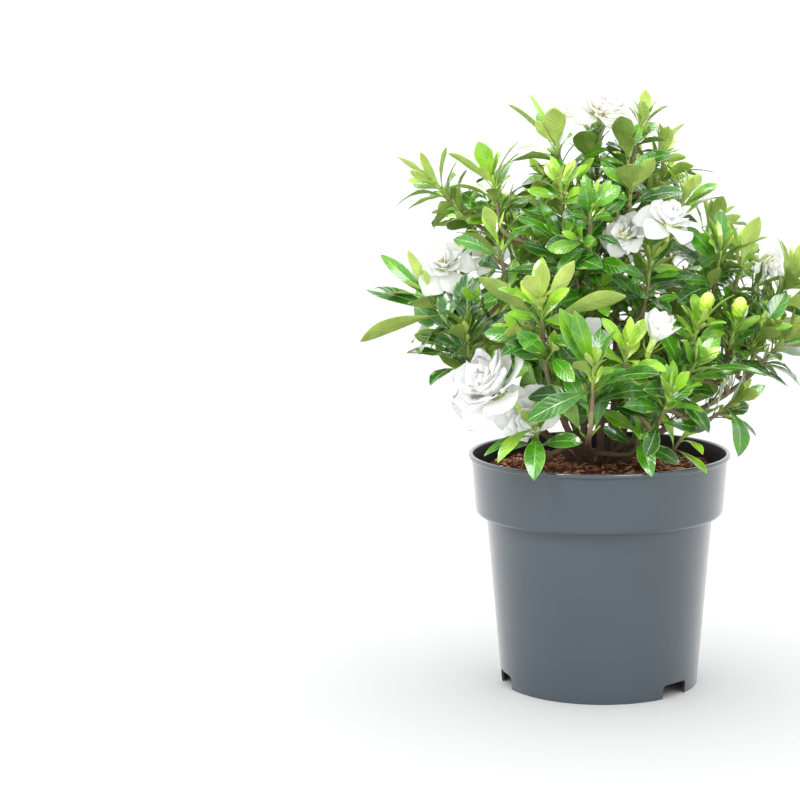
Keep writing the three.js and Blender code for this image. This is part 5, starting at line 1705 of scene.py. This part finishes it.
# %% Soft petal
def soft_petal(name):
    """A thick white petal: matt and a little translucent, greenish at the claw, ochre where it fades."""
    material, add, shader = new_material(name, {
        "Roughness": 0.5,
        "Specular IOR Level": 0.3,
        "Sheen Weight": 0.2,
        "Subsurface Weight": 0.85,
        "Subsurface Radius": (1.0, 1.0, 1.0),
        "Subsurface Scale": 3.0 * MM,
    })
    place = add("ShaderNodeTexCoord").outputs["Object"]
    along, aside, fade = (
        add("ShaderNodeAttribute", attribute_name=label).outputs["Fac"]
        for label in ("along", "aside", "tone")
    )
    claw = add("ShaderNodeMapRange", (along, 0.02, 0.3, 1.0, 0.0))
    white = add("ShaderNodeMix", {0: claw, 6: linear("#f6f8f6"), 7: linear("#e6ecc0")}, data_type="RGBA")
    patches = add("ShaderNodeTexNoise", {"Vector": place, "Scale": 90, "Detail": 4})
    out = add("ShaderNodeMath", {0: aside}, operation="ABSOLUTE")
    side = add("ShaderNodeMath", (out, 5.0), operation="POWER")
    end = add("ShaderNodeMath", (along, 7.0), operation="POWER")
    rim = add("ShaderNodeMath", (side, end), operation="MAXIMUM")
    foot = add("ShaderNodeMath", (claw, 0.9), operation="MULTIPLY")
    edge = add("ShaderNodeMath", (rim, foot), operation="MAXIMUM")
    spots = add("ShaderNodeMapRange", (patches, 0.38, 0.56, 0.0, 1.0))
    worn = add("ShaderNodeMath", (fade, edge), operation="MULTIPLY")
    aged = add("ShaderNodeMath", (worn, spots), operation="MULTIPLY")
    colour = add("ShaderNodeMix", {0: aged, 6: white.outputs[2], 7: linear("#d9a94e")}, data_type="RGBA")
    angle = add("ShaderNodeMath", (aside, 38.0), operation="MULTIPLY")
    ribs = add("ShaderNodeMath", {0: angle}, operation="SINE")
    low_ribs = add("ShaderNodeMath", (ribs, 0.3), operation="MULTIPLY")
    relief = add("ShaderNodeMath", (low_ribs, patches), operation="ADD")
    bump = add("ShaderNodeBump", {"Strength": 0.25, "Distance": 0.4 * MM, "Height": relief})
    fill(shader, {"Base Color": colour.outputs[2], "Normal": bump})
    return material


GARDENIA_PETAL = soft_petal("gardenia_petal")


def pollen_yellow(name, pale, deep):
    """Waxy anthers and stigma: soft yellow with brown dust."""
    material, add, shader = new_material(name, {"Roughness": 0.6})
    place = add("ShaderNodeTexCoord").outputs["Object"]
    dust = add("ShaderNodeTexNoise", {"Vector": place, "Scale": 1200, "Detail": 2})
    colour = add("ShaderNodeMix", {0: dust, 6: linear(pale), 7: linear(deep)}, data_type="RGBA")
    fill(shader, {"Base Color": colour.outputs[2]})
    return material


ANTHER_YELLOW = pollen_yellow("anther_yellow", "#e8cf6a", "#a9803a")
CLAW_GREEN = pollen_yellow("flower_tube_green", "#c4d860", "#e2ecac")

# %% Grow every bloom
INNER_RINGS = [
    (FULL, [(6, 0.84, 40, 0.66), (6, 0.56, 58, 0.8), (5, 0.36, 74, 0.9)]),
    (DOUBLE, [(5, 0.5, 60, 0.84), (3, 0.34, 76, 0.9)]),
    (LOOSE, [(6, 0.74, 38, 0.78), (5, 0.48, 62, 0.82)]),
    (HALF_OPEN, [(5, 0.84, 74, 0.66)]),
]
PETAL_FORM = {
    "Fold": 0.0, "Cup": 0.2, "Wave": 0.12, "Waves": 1.5, "Twist": 0.1, "Round end": 0.12,
    "Thickness": 0.5 * MM, "Stalk": 1.2 * MM, "Blade": PETAL, "Material": GARDENIA_PETAL,
}


def anthers(bloom):
    """Six anthers that lie out between the inner petals, and the club-shaped stigma in the middle."""
    face = face_of(bloom)
    out = framed(face, FLOWER_START)
    top = Vector(bloom.centre) + face * (HEART_FIRST + HEART_STEP * len(bloom.rings))
    lines = []
    for k in range(6):
        way = out(ROUND * k / 6 + 0.4)
        start = top + way * 1.6
        lines.append(Line([start, start + (way + face) * 2.6, start + way * 5 + face * 3.6],
                          [0.5, 0.8, 0.35], [1, 1, 1]))
    lines.append(Line([top, top + face * 3, top + face * 6, top + face * 8], [0.9, 1.3, 1.7, 0.5], [1] * 4))
    return lines


for seed, (name, bloom) in enumerate(BLOOMS.items()):
    corner = corner_near(name)
    outer, inner = [], []
    for ring, row in enumerate(bloom.rings):
        for index in range(row[0]):
            make = partial(petal_of, bloom, ring, row, index)
            petal = taken(lambda b: corner(keel_end(b)), PETAL_TRIES, make)
            if petal:
                (inner if row[2] > STANDING else outer).append(petal)
    extra = next(rings for kind, rings in INNER_RINGS if kind is bloom.rings)
    for ring, row in enumerate(extra, len(bloom.rings)):
        inner += [petal_of(bloom, min(ring, 3), row, index, 0) for index in range(row[0])]
    points = [Vector(bloom.centre) + face_of(bloom) * distance for distance in TUBE_GIRTHS]
    tube_line = Line(points, TUBE_GIRTHS.values(), [1] * len(points))
    parts = [
        tubes(name + "_tube", [tube_line], CLAW_GREEN, 14, 0.1, 4.0),
        tubes(name + "_anthers", anthers(bloom), ANTHER_YELLOW, 7, 0.1, 2.0),
    ]
    if outer:
        form = {**PETAL_FORM, "Curl": -0.13, "Seed": 50 + seed}
        parts.append(blades(name + "_outer", outer, form))
    if inner:
        form = {**PETAL_FORM, "Blade": INNER_PETAL, "Cup": 0.3, "Curl": -0.05, "Seed": 70 + seed}
        parts.append(blades(name + "_inner", inner, form))
    piece = joined(name + "_flower", parts)
    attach(piece, BODY)
    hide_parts(name)
    keep_windows_off(piece)
    lit_by_cards.objects.link(piece)
    print(name, "has", len(outer) + len(inner), "petals")

# %% [markdown]
# ## The buds
#
# A closed bud shows its petals rolled round each other like an umbrella. It is a turned form whose
# outline turns with height, with a step where each petal's edge lies over the next.

# %% Buds
BUD_LENGTH, BUD_RADIUS = 20, 6.2
BUD_OUTLINE = [(0, 0.42), (0.24, 0.88), (0.55, 1), (0.8, 0.84), (0.94, 0.5), (1, 0.05)]
BUD_PETALS, BUD_TWIST, BUD_STEP = 5, 0.9, 0.13
BUD_SIDES, BUD_RINGS = 60, 26


def share_at(t):
    """A bud's share of its radius at a height, smoothly between the points of its outline."""
    for (t0, r0), (t1, r1) in zip(BUD_OUTLINE, BUD_OUTLINE[1:]):
        if t <= t1:
            mix = (t - t0) / (t1 - t0)
            return r0 + (r1 - r0) * mix * mix * (3 - 2 * mix)
    return BUD_OUTLINE[-1][1]


def closed_bud(name, shoot):
    """A bud of rolled petals on the tip of a shoot."""
    axis = direction_of(shoot)
    out = framed(axis, SHOOT_START)
    foot = below(shoot, -CALYX_LENGTH - 0.3)
    sides, steps = BUD_SIDES, BUD_RINGS
    points, youth = [], []
    for i in range(steps + 1):
        t = i / steps
        for k in range(sides):
            lap = (BUD_PETALS * (k / sides + BUD_TWIST * t)) % 1
            swell = 1 - BUD_STEP * lap + BUD_STEP * 0.3 * math.sin(math.pi * lap)
            r = BUD_RADIUS * share_at(t) * swell
            points.append((foot + axis * BUD_LENGTH * t + out(ROUND * k / sides) * r) * MM)
            youth.append(t)
    faces = [
        (i * sides + k, i * sides + (k + 1) % sides, (i + 1) * sides + (k + 1) % sides, (i + 1) * sides + k)
        for i in range(steps) for k in range(sides)
    ]
    faces += [tuple(reversed(range(sides))), tuple(steps * sides + k for k in range(sides))]
    mesh = formed(name, points, faces, youth=youth)
    mesh.shade_smooth()
    mesh.set_sharp_from_angle(angle=math.radians(50))
    return placed(name, mesh)


def bud_skin(name):
    """The outside of a rolled bud: smooth and waxy, green at its foot and yellow-green at its tip."""
    material, add, shader = new_material(name, {
        "Roughness": 0.38, "Subsurface Weight": 0.2, "Subsurface Radius": (0.8, 1.0, 0.4),
        "Subsurface Scale": 1.5 * MM,
    })
    place = add("ShaderNodeTexCoord").outputs["Object"]
    height = add("ShaderNodeAttribute", attribute_name="youth").outputs["Fac"]
    patches = add("ShaderNodeTexNoise", {"Vector": place, "Scale": 300, "Detail": 3})
    drift = add("ShaderNodeMapRange", (patches, 0.3, 0.7, -0.1, 0.1))
    hue = add("ShaderNodeMath", (height, drift), operation="ADD")
    colour = add("ShaderNodeValToRGB", {0: hue}, [(0.05, "#7fae28"), (0.5, "#b2d936"), (0.95, "#dcee7a")])
    fill(shader, {"Base Color": colour})
    return material


BUD_SKIN = bud_skin("bud_skin")
for name, holder in BUDS.items():
    piece = closed_bud(name + "_closed", SHOOTS[holder])
    piece.data.materials.append(BUD_SKIN)
    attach(piece, BODY)
    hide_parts(name)
print("There are", len(BUDS), "closed buds")

# %% [markdown]
# ## The size, and the end
#
# The dressed plant is meant to stay within the solids' box. How far its box differs from theirs is printed,
# axis by axis.

# %% Compare the boxes and finish
drawn_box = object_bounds()
for axis, label in enumerate("xyz"):
    low, high = drawn_box[0][axis] - CAD_BOX[0][axis], drawn_box[1][axis] - CAD_BOX[1][axis]
    print(label, "differs by", round(low / MM, 1), "and", round(high / MM, 1), "mm")
